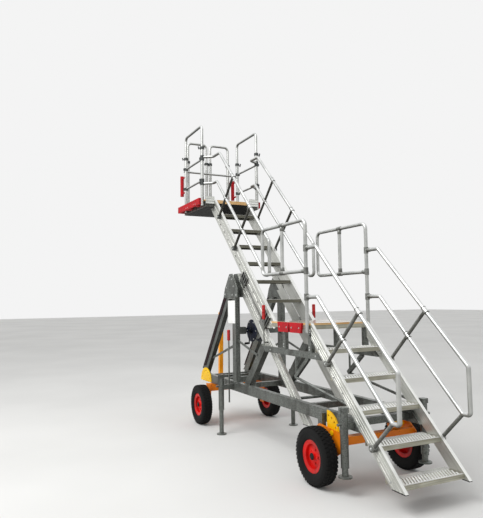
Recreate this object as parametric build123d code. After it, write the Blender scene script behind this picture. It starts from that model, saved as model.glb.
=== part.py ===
"""Towable access platform with a fixed lower stair, a landing and a sliding upper stair.

Millimetres, +Z up, +X towards the foot of the stairs. The origin is on the ground below the middle
of the outline. The lower stair and its landing are fixed to a four-wheeled chassis. The upper stair
carries the platform and slides along two inclined guide rails, pulled by a winch.
"""
from build123d import *
from math import hypot, radians, cos, sin
import os

# Stairs
rise = 240.0
going = 240.0
first_rise = 225.0
lower_steps = 5
upper_steps = 6
stair_foot_x = 2330.0
upper_foot_x = 15.0
tread_depth = 215.0
tread_thickness = 5.0
tread_lip = 38.0
tread_rib = 20.0
tread_bracket = (130.0, 44.0)

lower_inner = 320.0
lower_wall = 32.0
lower_depth = 110.0
lower_groove = (12.0, 4.0)
foot_cut_z = 177.0
upper_inner = 240.0
upper_wall = 40.0
upper_depth = 173.0
upper_groove = (16.0, 5.0)
upper_foot_z = 1400.0
upper_foot_drop = 60.0

# Landing and platform
landing_thickness = 60.0
landing_gap = 30.0
landing_fender_x = 518.0
landing_fender_z = (1322.0, 1424.0)
landing_fender_length = 245.0
landing_fender_slope = 17.0
landing_fender_thickness = 24.0
fender_split = 8.0
beam_size = 60.0
hanger_x = 600.0
hanger_size = 60.0
truss_tube = 26.0
truss_node = (800.0, 868.0)
truss_reach = 250.0
truss_y = 336.0
truss_foot_z = 700.0
platform_length = 875.0
platform_half_width = 415.0
platform_thickness = 105.0
frame_wall = 40.0
board_thickness = 18.0
riser_drop = 100.0
riser_sheet = 6.0
toe_board = (65.0, 45.0, 8.0)

# Guide rails under the upper stair
guide_inner = 250.0
guide_wall = 40.0
guide_gap = 28.5
slide_clearance = 0.3
running_gap = 8.0
guide_depth = 99.0
guide_top_z = 2005.0
guide_foot_z = 400.0
guide_slots = (0.28, 0.72)
guide_slot = (10.0, 6.0)
second_rail = (1130.0, 1790.0)
second_rail_gap = 3.0
second_rail_depth = 50.0
slide_block_run = 150.0
slide_foot_rise = 125.0
guide_head_rise = 31.0
block_top = 22.0
cheek_cover = 40.0
cheek_plate = 8.0
pad_width = 18.0
pad_pitch = 50.0
pad_thickness = 6.0
rib_clearance = 5.7

# Chassis
sill_inner = 300.0
sill_outer = 360.0
sill_bottom = 530.0
sill_top = 640.0
sill_overhang = 335.0
cross_size = 60.0
cross_z = (550.0, 610.0)
rear_cross_x = (910.0, 1700.0)
light_cross = 34.0
light_cross_x = (1590.0, 300.0)
post_x = -630.0
post_width = 100.0
leg_width = 120.0
leg_foot_x = -1653.0
leg_head_z = 1900.0
tie_high_z = 1090.0
tie_low_z = 870.0
tie_width = 32.0
tie_inner = 325.0
tie_plate = 12.0
apex_z = 2003.0
apex_low_z = 1700.0
apex_plate = 8.0
strip_width = 35.0
strip_foot_rise = 60.0
strip_head_z = 1815.0
strut_foot_x = -361.0
strut_lean = 0.88
strut_width = 140.0
strut_outer = 320.0
back_tie_z = 1155.0
back_tie_drop = 137.0
back_tie_width = 24.0

# Wheels and axles
wheelbase = 2800.0
rear_axle_x = 1435.0
track = 1045.0
tyre_diameter = 520.0
tyre_width = 140.0
rim_diameter = 290.0
rim_well = 37.0
stub_diameter = 40.0
arm_plate = 14.0
arm_pivot = (1330.0, 475.0)
axle_beam = (1640.0, 74.0)
axle_beam_z = (385.0, 455.0)
quadrant_plate = 10.0
quadrant_radius = 185.0
quadrant_rim = 42.0
quadrant_hole = 20.0
quadrant_pitch = 20
rear_quadrant_x = 1395.0
front_quadrant_x = -1575.0
quadrant_gap = (2.0, 5.0)
lock_pin = (1540.0, 472.0)
lock_pin_diameter = 30.0
lock_head = (44.0, 8.0)
turntable_diameter = 420.0
turntable_plate = 12.0
turntable_gap = 0.3
bolster_size = 95.0

# Drawbar
drawbar_reach = 535.0
drawbar_pivot_z = 540.0
drawbar_length = 900.0
drawbar_size = 55.0
drawbar_lean = 2.0
eye_bore = 20.0
eye_wall = 18.0
eye_reach = 27.0
eye_width = 25.0
pin_diameter = 24.0

# Winch
winch_x = -480.0
winch_z = 1280.0
winch_y = (-190.0, -80.0)
winch_diameter = 280.0
winch_flange = 8.0
winch_drum = 190.0
winch_hub = 60.0
winch_bar = 60.0
winch_bracket = (30.0, 120.0)

# Jacks
front_jack = (-690.0, 520.0)
rear_jack = (1762.0, 450.0)
sleeve_diameter = 70.0
jack_leg_diameter = 54.0
jack_leg_length = 470.0
jack_clearance = 1.0
jack_foot_diameter = 120.0
rear_foot_lift = 150.0
sleeve_top_z = 690.0
gear_head = (64.0, 44.0)
crank_shaft = 16.0
crank_reach = 40.0
crank_throw = 120.0
crank_grip = (28.0, 24.0)

# Handrails
rail_tube = 38.0
lower_rail_y = 375.5
upper_rail_y = 301.0
landing_post_inset = 27.0
hoop_back = 197.0
hoop_low = 1942.0
hoop_high = 2454.0
lower_top_z = 2168.0
lower_top_offset = 900.0
lower_mid_z = 1683.0
lower_mid_offset = 425.0
lower_loop_z = 690.0
lower_loop_run = 78.0
lower_brace_z = 1546.0
rail_bend = 70.0
brace_tube = 30.0
brace_seat = 45.0
top_rail_height = 875.0
mid_rail_height = 390.0
loop_run = 95.0
loop_foot_rise = 545.0
mid_rail_rise = 235.0
rear_post_inset = 60.0
collar_diameter = 60.0
coupling_diameter = 46.0
coupling_length = 64.0
clamp_diameter = 60.0
clamp_seat = 6.0
clamp_skirt = 30.0
clamp_cap = 8.0
rail_seat = 0.2
roller_diameter = 56.0
roller_reach = 45.0
roller_rails = (240.0, 480.0)
roller_rail_tube = 24.0
post_tube = 48.0
hoop_clearance = 1.0
hoop_tube = 38.0
platform_rail_height = 590.0
platform_mid_height = 280.0
side_hoop_height = 1085.0
front_hoop_height = 1065.0
front_hoop_y = (33.0, 345.0)
hoop_legs = 330.0
clamp_height = 765.0

# Rubber on the platform
fender_front_thickness = 38.0
fender_side_thickness = 30.0
fender_lugs = ((0.28, 0.42), (0.66, 0.8))
fender_front_lugs = (110.0, 270.0)

# Hand controls: a brake lever of the sliding stair on each side, and a crank on the near side
lever_x = 135.0
lever_y = 341.0
lever_pivot_z = 1180.0
lever_top_z = 1440.0
lever_grip = (163.0, 30.0)
lever_rod_diameter = 14.0
lever_pin = 20.0
crank_x = -745.0
crank_y = 385.0
crank_low_z = 370.0
crank_top_z = 1150.0
crank_handle = (135.0, 34.0)
crank_rod = 20.0
crank_eye_z = (560.0, 600.0)

# Derived heights and the two stair lines
landing_z = first_rise + lower_steps * rise
platform_z = landing_z + (upper_steps + 1) * rise
slope_length = hypot(going, rise)
landing_front_x = stair_foot_x - lower_steps * going
platform_back_x = upper_foot_x - upper_steps * going
platform_front_x = platform_back_x - platform_length
front_axle_x = rear_axle_x - wheelbase
hub_z = tyre_diameter / 2
sill_front_x = front_axle_x - sill_overhang
drawbar_pivot_x = front_axle_x - drawbar_reach
LOWER = (stair_foot_x, first_rise)
UPPER = (upper_foot_x, landing_z + rise)
DOWN_SLOPE = (going / slope_length, 0.0, -rise / slope_length)
SQUARE_DOWN = (-rise / slope_length, 0.0, -going / slope_length)

os.makedirs("parts", exist_ok=True)


def line_x(stair, z, below=0.0):
    """X at height z of the line parallel to a stair's nosing line and `below` it, square to the slope."""
    nose_x, nose_z = stair
    return nose_x - (z - nose_z) * going / rise - below * slope_length / rise


def plate(outline, y_start, y_end):
    """Flat piece with an outline of (x, z) points, from y_start to y_end."""
    face = Face(Wire.make_polygon([(x, y_start, z) for x, z in outline], close=True))
    return extrude(face, amount=abs(y_end - y_start), dir=(0, 1 if y_end > y_start else -1, 0))


def band(stair, z_low, z_high, upper, lower, y_start, y_end):
    """Bar along a stair between two depths below its nosing line, cut level at both ends."""
    outline = [
        (line_x(stair, z_low, upper), z_low),
        (line_x(stair, z_high, upper), z_high),
        (line_x(stair, z_high, lower), z_high),
        (line_x(stair, z_low, lower), z_low),
    ]
    return plate(outline, y_start, y_end)


def slab(stair, z_mid, start, end, upper, lower, y_start, y_end):
    """Block square to a stair's slope, from start to end along it, between two depths below its nosing."""
    middle = (line_x(stair, z_mid), 0.0, z_mid)
    outline = []
    for along, depth in ((start, upper), (end, upper), (end, lower), (start, lower)):
        x, y, z = shifted(shifted(middle, DOWN_SLOPE, along), SQUARE_DOWN, depth)
        outline.append((x, z))
    return plate(outline, y_start, y_end)


def block(x0, x1, y0, y1, z0, z1):
    return Pos((x0 + x1) / 2, (y0 + y1) / 2, (z0 + z1) / 2) * Box(abs(x1 - x0), abs(y1 - y0), abs(z1 - z0))


def post(x, y, z0, z1, diameter):
    return Pos(x, y, (z0 + z1) / 2) * Cylinder(diameter / 2, abs(z1 - z0))


def across(x, z, y0, y1, diameter):
    """Round bar along Y."""
    return Pos(x, (y0 + y1) / 2, z) * Rot(90, 0, 0) * Cylinder(diameter / 2, abs(y1 - y0))


def tube(points, diameter, bend=rail_bend):
    """Round tube through points, with its corners bent to a radius."""
    path = FilletPolyline(*points, radius=bend) if len(points) > 2 else Line(*points)
    start = Plane(origin=path @ 0, z_dir=path % 0)
    return sweep(start * Circle(diameter / 2), path=path)


def turned(points, x, y, z):
    """Body turned about a Y axis through (x, y, z), from (radius, offset) points."""
    face = Face(Wire.make_polygon([(r, o, 0) for r, o in points], close=True))
    return Pos(x, y, z) * revolve(face, axis=Axis.Y)


def bar(start, end, width, y_start, y_end):
    """Flat-sided bar between two (x, z) points, with square ends."""
    (x0, z0), (x1, z1) = start, end
    length = hypot(x1 - x0, z1 - z0)
    nx, nz = -(z1 - z0) / length * width / 2, (x1 - x0) / length * width / 2
    outline = [(x0 + nx, z0 + nz), (x1 + nx, z1 + nz), (x1 - nx, z1 - nz), (x0 - nx, z0 - nz)]
    return plate(outline, y_start, y_end)


def tie(start, end, width, y_start, y_end):
    """Flat bar between two (x, z) points, cut upright at both ends."""
    (x0, z0), (x1, z1) = start, end
    half = width / 2 * hypot(x1 - x0, z1 - z0) / abs(x1 - x0)
    return plate([(x0, z0 + half), (x1, z1 + half), (x1, z1 - half), (x0, z0 - half)], y_start, y_end)


def shifted(point, direction, distance):
    """Point moved by a distance along a unit direction."""
    return tuple(p + d * distance for p, d in zip(point, direction))


def coupling(point, direction):
    """Round sleeve over a rail, where a brace meets it."""
    half = coupling_length / 2
    return tube([shifted(point, direction, -half), shifted(point, direction, half)], coupling_diameter)


def brace_on(stair, rail_offset, rail_z, y):
    """Ends of a brace square to the slope, from a rail `rail_offset` above the nosing line to its clamp."""
    head = (line_x(stair, rail_z) + rail_offset, y, rail_z)
    length = rail_offset * rise / slope_length + brace_seat
    foot = shifted(head, SQUARE_DOWN, length)
    return head, foot


def rail_clamp(foot, y_inner, y_outer):
    """Round clamp casting that holds a brace's foot against the outside of a stringer."""
    return across(foot[0], foot[2], y_inner, y_outer, clamp_diameter)


def pair(solid):
    """The piece on the near side and its mirror image on the far side."""
    return [solid, mirror(solid, about=Plane.XZ)]


def write(name, *solids):
    """Exports a node from solids and nested lists of them."""
    flat = []
    queue = list(solids)
    while queue:
        item = queue.pop(0)
        if isinstance(item, (list, tuple)):
            queue = list(item) + queue
        else:
            flat.append(item)
    export_step(Compound(flat), f"parts/{name}.step")


def tread(stair, step, half_width):
    """Folded tread with a front and a back lip, two ribs underneath and a bracket at each end."""
    nose_x = stair[0] - step * going
    top = stair[1] + step * rise
    back = nose_x - tread_depth
    t = tread_thickness
    outline = [
        (nose_x, top),
        (back, top),
        (back, top - tread_lip),
        (back + t, top - tread_lip),
        (back + t, top - t),
    ]
    for share in (1 / 3, 2 / 3):
        rib = back + share * tread_depth
        outline += [(rib, top - t), (rib, top - tread_rib), (rib + t, top - tread_rib), (rib + t, top - t)]
    outline += [(nose_x - t, top - t), (nose_x - t, top - tread_lip), (nose_x, top - tread_lip)]
    body = plate(outline, -half_width, half_width)
    run, drop = tread_bracket
    bracket = [(back + t, top - t), (back + t + run, top - t), (back + t, top - drop)]
    for sign in (-1, 1):
        body += plate(bracket, sign * half_width, sign * (half_width - t))
    return body


def open_frame(x0, x1, half_width, z_top, depth, ribs):
    """Deck frame of a rim and ribs across, open between them."""
    body = block(x0, x1, -half_width, half_width, z_top - depth, z_top)
    bay = (x1 - x0 - frame_wall * (ribs + 2)) / (ribs + 1)
    for index in range(ribs + 1):
        start = x0 + frame_wall + index * (bay + frame_wall)
        body -= block(start, start + bay, frame_wall - half_width, half_width - frame_wall,
                      z_top - depth, z_top)
    return body


# Lower stair
lower_outer = lower_inner + lower_wall
landing_bottom = landing_z - landing_thickness


def lower_stringer():
    """Grooved side of the lower stair, cut level at its foot and upright at the landing."""
    groove, recess = lower_groove
    slope_cut = line_x(LOWER, foot_cut_z, lower_depth)
    joint_z = landing_z - lower_depth * slope_length / going
    outline = [
        (line_x(LOWER, foot_cut_z), foot_cut_z),
        (landing_front_x, landing_z),
        (landing_front_x, joint_z),
        (slope_cut, foot_cut_z),
    ]
    body = plate(outline, lower_inner, lower_outer)
    for share in (0.25, 0.5, 0.75):
        near = lower_depth * share - groove / 2
        body -= band(LOWER, foot_cut_z, landing_z, near, near + groove, lower_outer - recess, lower_outer)
    return body


write("lower_stringers", pair(lower_stringer()))
write("lower_treads", [tread(LOWER, step, lower_inner) for step in range(lower_steps)])

# Landing
landing_half_width = lower_rail_y - rail_tube / 2
landing_back_x = line_x(UPPER, landing_bottom) + landing_gap
board_low = landing_z - board_thickness
write("landing_deck", open_frame(landing_back_x, landing_front_x, landing_half_width, board_low,
                                 landing_thickness - board_thickness, 2))
write("landing_board", block(landing_back_x, landing_front_x, -landing_half_width, landing_half_width,
                             board_low, landing_z))

beam_z = landing_z - rise - tread_bracket[1] - 1 - beam_size / 2
guide_below = upper_depth + guide_gap
guide_outer = guide_inner + guide_wall
second_rail_low = guide_below + guide_depth + second_rail_gap + second_rail_depth
cheek_outer = guide_outer + slide_clearance + cheek_plate + pad_thickness
support_inner = cheek_outer + rib_clearance
support_outer = sill_outer - 10


def landing_support():
    """Side frame under the landing: a level beam from guide rail to stringer, and what hangs from it."""
    low = beam_z - beam_size / 2
    high = beam_z + beam_size / 2
    node_x, node_z = truss_node
    beam = plate([
        (line_x(UPPER, low, guide_below + guide_depth), low),
        (line_x(LOWER, low, lower_depth), low),
        (line_x(LOWER, high, lower_depth), high),
        (line_x(UPPER, high, guide_below + guide_depth), high),
    ], support_inner, support_outer)
    for x in (hanger_x, landing_front_x - hanger_size / 2):
        beam += block(x - hanger_size / 2, x + hanger_size / 2, support_inner, support_outer,
                      high, landing_bottom)
    beam += band(UPPER, low, high, guide_below + cheek_cover + running_gap, guide_below + guide_depth,
                 guide_outer, support_inner)
    beam += bar((node_x + truss_reach, low), (node_x, node_z), 40, truss_y - 20, truss_y + 12)
    beam += post(node_x + 20, truss_y, node_z, low, 22)
    truss_foot = (line_x(LOWER, truss_foot_z), truss_y, truss_foot_z)
    beam += tube([(node_x, truss_y, node_z), truss_foot], truss_tube)
    beam -= band(LOWER, foot_cut_z, landing_z, -truss_foot_z, lower_depth, lower_inner, lower_outer)
    return beam


write("landing_supports", pair(landing_support()))


def landing_fender(x):
    """Rubber block on the landing's near edge, narrower at its foot."""
    low, high = landing_fender_z
    end = x + landing_fender_length - fender_split
    outline = [(x, high), (end, high), (end - landing_fender_slope, low), (x + landing_fender_slope, low)]
    return plate(outline, -landing_half_width, -landing_half_width - landing_fender_thickness)


write("landing_fenders", [landing_fender(landing_fender_x + index * landing_fender_length)
                          for index in (0, 1)])

# Guide rails


def guide_rail():
    """Rail with two slots in its outer face, and the second rail under it."""
    low = guide_below + guide_depth
    slot, recess = guide_slot
    body = band(UPPER, guide_foot_z, guide_top_z, guide_below, low, guide_inner, guide_outer)
    for share in guide_slots:
        near = guide_below + guide_depth * share - slot / 2
        body -= band(UPPER, guide_foot_z, guide_top_z, near, near + slot, guide_outer - recess, guide_outer)
    return body + band(UPPER, *second_rail, low, second_rail_low, guide_inner + 5, guide_outer - 5)


write("guide_rails", pair(guide_rail()))

# Side frames: post and inclined leg on each sill
leg_slope = (leg_head_z - sill_top) / (post_x - post_width / 2 - leg_foot_x)


def frame_post():
    half = post_width / 2
    return block(post_x - half, post_x + half, sill_inner, sill_outer, sill_top, leg_head_z)


def frame_leg():
    """Inclined leg from the sill up to the post."""
    front = post_x - post_width / 2
    half = leg_width / 2 * hypot(1, leg_slope) / leg_slope
    top = leg_head_z + half * leg_slope
    return plate([
        (leg_foot_x - half, sill_top), (leg_foot_x + half, sill_top),
        (front, leg_head_z - half * leg_slope), (front, leg_head_z),
        (front - (top - leg_head_z) / leg_slope, leg_head_z),
    ], sill_inner, sill_outer)


def frame_tie():
    """Flat tie between the leg and the post, cut to lie against both."""
    front = post_x - post_width / 2
    back = leg_width / 2 * hypot(1, leg_slope) / leg_slope
    low, high = tie_low_z - tie_width / 2, tie_low_z + tie_width / 2
    rise_to_post = tie_high_z - tie_low_z
    return plate([
        (leg_foot_x + back + (high - sill_top) / leg_slope, high), (front, high + rise_to_post),
        (front, low + rise_to_post), (leg_foot_x + back + (low - sill_top) / leg_slope, low),
    ], tie_inner, tie_inner + tie_plate)


write("frame_posts", pair(frame_post()))
write("frame_legs", pair(frame_leg()))


def apex_outline():
    """Outline of the gusset plates where leg, post and guide rail meet."""
    return [
        (post_x - 115, apex_z),
        (post_x - 20, apex_z),
        (post_x + 125, apex_low_z + 100),
        (post_x + 125, apex_low_z),
        (post_x - 305, apex_low_z),
        (post_x - 260, apex_low_z + 115),
    ]


write("apex_plates",
      pair(plate(apex_outline(), sill_outer, sill_outer + apex_plate)),
      pair(plate(apex_outline(), guide_outer, sill_inner)))


def leg_strip():
    """Rubber strip along the front of a leg."""
    half = leg_width / 2 * hypot(1, leg_slope) / leg_slope
    low_z = sill_top + strip_foot_rise
    low_x = leg_foot_x - half + (low_z - sill_top) / leg_slope
    high_x = leg_foot_x - half + (strip_head_z - sill_top) / leg_slope
    outline = [
        (low_x, low_z),
        (high_x, strip_head_z),
        (high_x - strip_width, strip_head_z),
        (low_x - strip_width, low_z),
    ]
    return plate(outline, sill_inner, sill_outer)


write("leg_strips", pair(leg_strip()))


def guide_strut():
    """Leaning strut from the sill up to the underside of the guide rail, with a tie to the post."""
    edges = (strut_foot_x - strut_width / 2, strut_foot_x + strut_width / 2)
    rail_line = line_x(UPPER, sill_top, guide_below + guide_depth)
    outline = [(edges[1], sill_top), (edges[0], sill_top)]
    for foot_x in edges:
        climb = (rail_line - foot_x) / (strut_lean + going / rise)
        outline.append((foot_x + strut_lean * climb, sill_top + climb))
    strut = plate(outline, guide_inner, strut_outer)
    strut -= band(UPPER, *second_rail, guide_below, second_rail_low, guide_inner - 1, strut_outer + 1)
    low_z = back_tie_z - back_tie_drop
    start = (post_x + post_width / 2, back_tie_z)
    end = (edges[0] + strut_lean * (low_z - sill_top) + back_tie_width, low_z)
    return strut + tie(start, end, back_tie_width, strut_outer - 1, strut_outer + tie_plate)


write("guide_struts", pair(guide_strut()), pair(frame_tie()))

# Chassis
quadrant_outer = sill_outer + quadrant_plate
tyre_inner = track / 2 - tyre_width / 2
arm_outer = (quadrant_outer + tyre_inner + arm_plate) / 2
arm_inner = arm_outer - arm_plate
pivot_x, pivot_z = arm_pivot
beam_x, beam_width = axle_beam
beam_low, beam_high = axle_beam_z
lock_x, lock_z = lock_pin


def sill():
    return plate([
        (sill_front_x, sill_bottom), (line_x(LOWER, sill_bottom, lower_depth), sill_bottom),
        (line_x(LOWER, sill_top, lower_depth), sill_top), (sill_front_x, sill_top),
    ], sill_inner, sill_outer)


write("sills", pair(sill()))

cross_places = (sill_front_x + 40, front_axle_x - 130, front_axle_x + 130, post_x, *rear_cross_x)
crosses = [block(x - cross_size / 2, x + cross_size / 2, -sill_inner, sill_inner, *cross_z)
           for x in cross_places]
ring_top = sill_bottom + 8 + turntable_plate
seat = post(front_axle_x, 0, ring_top - turntable_plate, cross_z[0], turntable_diameter)
crosses[1] = crosses[1] + crosses[2] + seat
del crosses[2]
crosses += [across(x, cross_z[0] - 5, -sill_inner, sill_inner, light_cross) for x in light_cross_x]
guide_shoe = band(UPPER, 540, 630, guide_below, guide_below + guide_depth, guide_outer, sill_inner)
pivot_bracket = block(pivot_x - 35, pivot_x + 35, sill_outer, arm_inner, pivot_z - 35, sill_top - 30)
write("cross_members", crosses, pair(guide_shoe), pair(pivot_bracket))


def winch():
    """Cable drum between two flanges, on a bracket from a round bar between the posts."""
    flange, drum, hub = winch_diameter / 2, winch_drum / 2, winch_hub / 2
    near, far = winch_y
    bracket_width, bracket_height = winch_bracket
    width = far - near
    profile = [(0, -15), (hub, -15), (hub, 0), (flange - 6, 0), (flange, 3), (flange, winch_flange),
               (drum, winch_flange), (drum, width - winch_flange), (flange, width - winch_flange),
               (flange, width), (0, width)]
    body = turned(profile, winch_x, near, winch_z)
    body += across(post_x, winch_z, -sill_inner, sill_inner, winch_bar)
    return body + block(post_x, winch_x, far, far + bracket_width,
                        winch_z - bracket_height / 2, winch_z + bracket_height / 2)


write("winch", winch())

# Rear axle
arm_end = 45.0
arm_drop = 50.0


def axle_arm():
    """Arm from its pivot under the sill over the axle beam down to the wheel's stub axle."""
    outline = [
        (pivot_x - 38, pivot_z + 10),
        (pivot_x, pivot_z + 38),
        (beam_x - 20, pivot_z + 20),
        (beam_x + 60, pivot_z - 45),
        (beam_x + arm_end, beam_low - arm_drop),
        (rear_axle_x + arm_end, hub_z - arm_drop),
        (rear_axle_x - arm_end, hub_z - arm_drop),
        (pivot_x - 38, pivot_z - 20),
    ]
    body = plate(outline, arm_inner, arm_outer)
    return body + across(rear_axle_x, hub_z, arm_outer, track / 2 + 20, stub_diameter)


half_beam = beam_width / 2
rear_axle = block(beam_x - half_beam, beam_x + half_beam, -arm_outer, arm_outer, beam_low, beam_high)
for piece in pair(axle_arm()):
    rear_axle += piece
write("rear_axle", rear_axle)


def quadrant(x, z, spread):
    """Plate with a round edge over `spread` degrees and holes along it, that sets the ride height."""
    reach = quadrant_radius
    start = x - reach if spread > 90 else x
    body = across(x, z, sill_outer, quadrant_outer, 2 * reach)
    body &= block(start, x + reach, sill_outer, quadrant_outer, z, z + reach)
    for degrees in range(quadrant_pitch, spread, quadrant_pitch):
        angle = radians(degrees)
        hole_x = x + (reach - quadrant_rim) * cos(angle)
        hole_z = z + (reach - quadrant_rim) * sin(angle)
        body -= across(hole_x, hole_z, sill_outer - 1, quadrant_outer + 1, quadrant_hole)
    return body


head_diameter, head_height = lock_head
over_beam, over_axle = quadrant_gap
pin = across(lock_x, lock_z, quadrant_outer, arm_inner, lock_pin_diameter)
pin_head = across(lock_x, lock_z, arm_outer, arm_outer + head_height, head_diameter)
write("quadrant_plates",
      pair(quadrant(rear_quadrant_x, beam_high + over_beam, 90) + pin),
      pair(pin_head),
      pair(quadrant(front_quadrant_x, sill_bottom + over_axle, 180)))

# Jacks
jack_table = [
    # name, position, lift of the foot, foot of the sleeve
    ("front", front_jack, 0.0, 300.0),
    ("rear", rear_jack, rear_foot_lift, 230.0),
]
sleeves = []


def jack_head(x, y):
    """Gear head on a jack's sleeve, with a crank folded down outside it."""
    size, height = gear_head
    grip_length, grip_diameter = crank_grip
    z = sleeve_top_z + height / 2
    arm_y = y + crank_reach
    half = size / 2
    body = block(x - half, x + half, y - half, y + half, sleeve_top_z, sleeve_top_z + height)
    body += across(x, z, y, arm_y, crank_shaft)
    body += block(x - crank_shaft / 2, x + crank_shaft / 2, arm_y - 8, arm_y, z - crank_throw, z + 10)
    return body + across(x, z - crank_throw, arm_y - 8, arm_y + grip_length, grip_diameter)


for name, (jack_x, jack_y), lift, sleeve_low in jack_table:
    sleeve = post(jack_x, jack_y, sleeve_low, sleeve_top_z, sleeve_diameter)
    bore = jack_leg_diameter + 2 * jack_clearance
    sleeve -= post(jack_x, jack_y, sleeve_low - 1, sleeve_top_z - 10, bore)
    arm = block(jack_x - 30, jack_x + 30, sill_outer, jack_y, *cross_z)
    arm -= post(jack_x, jack_y, sleeve_low, sleeve_top_z, sleeve_diameter - 4)
    sleeves += pair(sleeve + arm + jack_head(jack_x, jack_y))
    for side, sign in (("near", -1), ("far", 1)):
        leg = post(jack_x, sign * jack_y, lift + 8, lift + jack_leg_length, jack_leg_diameter)
        leg += post(jack_x, sign * jack_y, lift, lift + 12, jack_foot_diameter)
        write(f"{name}_jack_leg_{side}", leg)
write("jack_sleeves", sleeves)

# Wheels


def tyre_section():
    """Section of a tyre: flat bead, bulged walls, round shoulders and a crowned tread."""
    bead, outer, half = rim_diameter / 2, tyre_diameter / 2, tyre_width / 2
    shoulder_r, shoulder_y = outer - 24, half * 0.86
    tread_r, tread_y = outer - 3, half * 0.6
    wall_r, seat_y = (bead + shoulder_r) / 2, half * 0.72
    round_r = (shoulder_r + tread_r) / 2 + 3
    round_y = (shoulder_y + tread_y) / 2 + 3
    edges = [Line((bead, seat_y, 0), (bead, -seat_y, 0))]
    for sign in (-1, 1):
        edges.append(ThreePointArc((bead, sign * seat_y, 0), (wall_r, sign * half, 0),
                                   (shoulder_r, sign * shoulder_y, 0)))
        edges.append(ThreePointArc((shoulder_r, sign * shoulder_y, 0), (round_r, sign * round_y, 0),
                                   (tread_r, sign * tread_y, 0)))
    edges.append(ThreePointArc((tread_r, -tread_y, 0), (outer, 0, 0), (tread_r, tread_y, 0)))
    return Face(Wire(edges))


def rim_profile():
    """Pressed rim: a hub, a dished disc and a well with two lips, as (radius, offset outwards) points."""
    lip, seat, well = rim_diameter / 2, tyre_width / 2 * 0.72, rim_diameter / 2 - rim_well
    bore = stub_diameter / 2 + 0.05
    hub = stub_diameter / 2 + 12
    return [(bore, -45), (hub, -45), (hub, 4), (well, 10), (well, 8 - seat), (lip - 6, -seat), (lip, -seat),
            (lip, 6 - seat), (well + 6, 14 - seat), (well + 6, seat - 14), (lip, seat - 6), (lip, seat),
            (lip - 6, seat), (well, seat - 8), (well, 17), (60, 22), (hub, 30), (hub, 45), (bore, 45)]


for end, axle_x in (("front", front_axle_x), ("rear", rear_axle_x)):
    for side, sign in (("near", -1), ("far", 1)):
        wheel_y = sign * track / 2
        tyre = revolve(tyre_section(), axis=Axis.Y)
        write(f"{end}_tyre_{side}", Pos(axle_x, wheel_y, hub_z) * tyre)
        rim = [(radius, sign * offset) for radius, offset in rim_profile()]
        write(f"{end}_rim_{side}", turned(rim, axle_x, wheel_y, hub_z))

# Steered front axle
ring_low = ring_top - 2 * turntable_plate - turntable_gap
bolster_top = ring_low
front_axle = post(front_axle_x, 0, ring_low, ring_low + turntable_plate, turntable_diameter)
front_axle += block(front_axle_x - bolster_size / 2, front_axle_x + bolster_size / 2, -arm_outer, arm_outer,
                    bolster_top - bolster_size, bolster_top)


def front_arm():
    """Cheek from the bolster's end down to the wheel's stub axle."""
    outline = [
        (front_axle_x - 80, bolster_top),
        (front_axle_x + 80, bolster_top),
        (front_axle_x + arm_end, hub_z - arm_drop),
        (front_axle_x - arm_end, hub_z - arm_drop),
    ]
    body = plate(outline, arm_inner, arm_outer)
    return body + across(front_axle_x, hub_z, arm_outer, track / 2 + 20, stub_diameter)


for piece in pair(front_arm()):
    front_axle += piece
write("front_axle", front_axle)


frame_top = bolster_top - 20
frame_low = bolster_top - 75
fork_inner = drawbar_size / 2 + 3
fork_outer = fork_inner + 20
fork_half = 30.0
fork_tie = (150.0, 190.0, 120.0)


def drawbar_frame():
    """Leaning side of the frame in front of the axle, with a fork plate for the drawbar's pin."""
    back_x = front_axle_x - bolster_size / 2
    front_x, rear_x = drawbar_pivot_x - fork_half, drawbar_pivot_x + fork_half
    seen_from_above = [
        (back_x, -260),
        (back_x, -200),
        (rear_x, -fork_inner),
        (front_x, -fork_inner),
        (front_x, -fork_outer),
        (rear_x, -fork_outer),
    ]
    face = Face(Wire.make_polygon([(x, y, frame_low) for x, y in seen_from_above], close=True))
    arm = extrude(face, amount=frame_top - frame_low, dir=(0, 0, 1))
    fork = [
        (front_x, frame_low),
        (rear_x, frame_low),
        (rear_x, drawbar_pivot_z),
        (drawbar_pivot_x + 15, drawbar_pivot_z + 30),
        (drawbar_pivot_x - 15, drawbar_pivot_z + 30),
        (front_x, drawbar_pivot_z),
    ]
    return arm + plate(fork, -fork_inner, -fork_outer)


tie_start, tie_end, tie_half = fork_tie
pin_end = fork_outer + 7
near_frame, far_frame = pair(drawbar_frame())
drawbar_carrier = near_frame + far_frame
drawbar_carrier += across(drawbar_pivot_x, drawbar_pivot_z, -pin_end, pin_end, pin_diameter)
drawbar_carrier += block(drawbar_pivot_x + tie_start, drawbar_pivot_x + tie_end, -tie_half, tie_half,
                         frame_low, frame_top)
write("drawbar_carrier", drawbar_carrier)


def drawbar():
    """Towing bar, stowed upright and leaning back on its stop, with a ring at its end."""
    half = drawbar_size / 2
    body = block(-half, half, -half, half, 0, drawbar_length)
    body += across(0, 0, -half, half, drawbar_size + 8)
    ring = Rot(0, 90, 0) * Cylinder(eye_bore + eye_wall, eye_width)
    body += Pos(0, 0, drawbar_length + eye_reach) * ring
    body -= Pos(0, 0, drawbar_length + eye_reach) * Rot(0, 90, 0) * Cylinder(eye_bore, 3 * eye_width)
    body -= across(0, 0, -drawbar_size, drawbar_size, pin_diameter + 0.1)
    return Pos(drawbar_pivot_x, 0, drawbar_pivot_z) * Rot(0, drawbar_lean, 0) * body


write("drawbar", drawbar())

# Upper stair
upper_outer = upper_inner + upper_wall
platform_bottom = platform_z - platform_thickness


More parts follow.
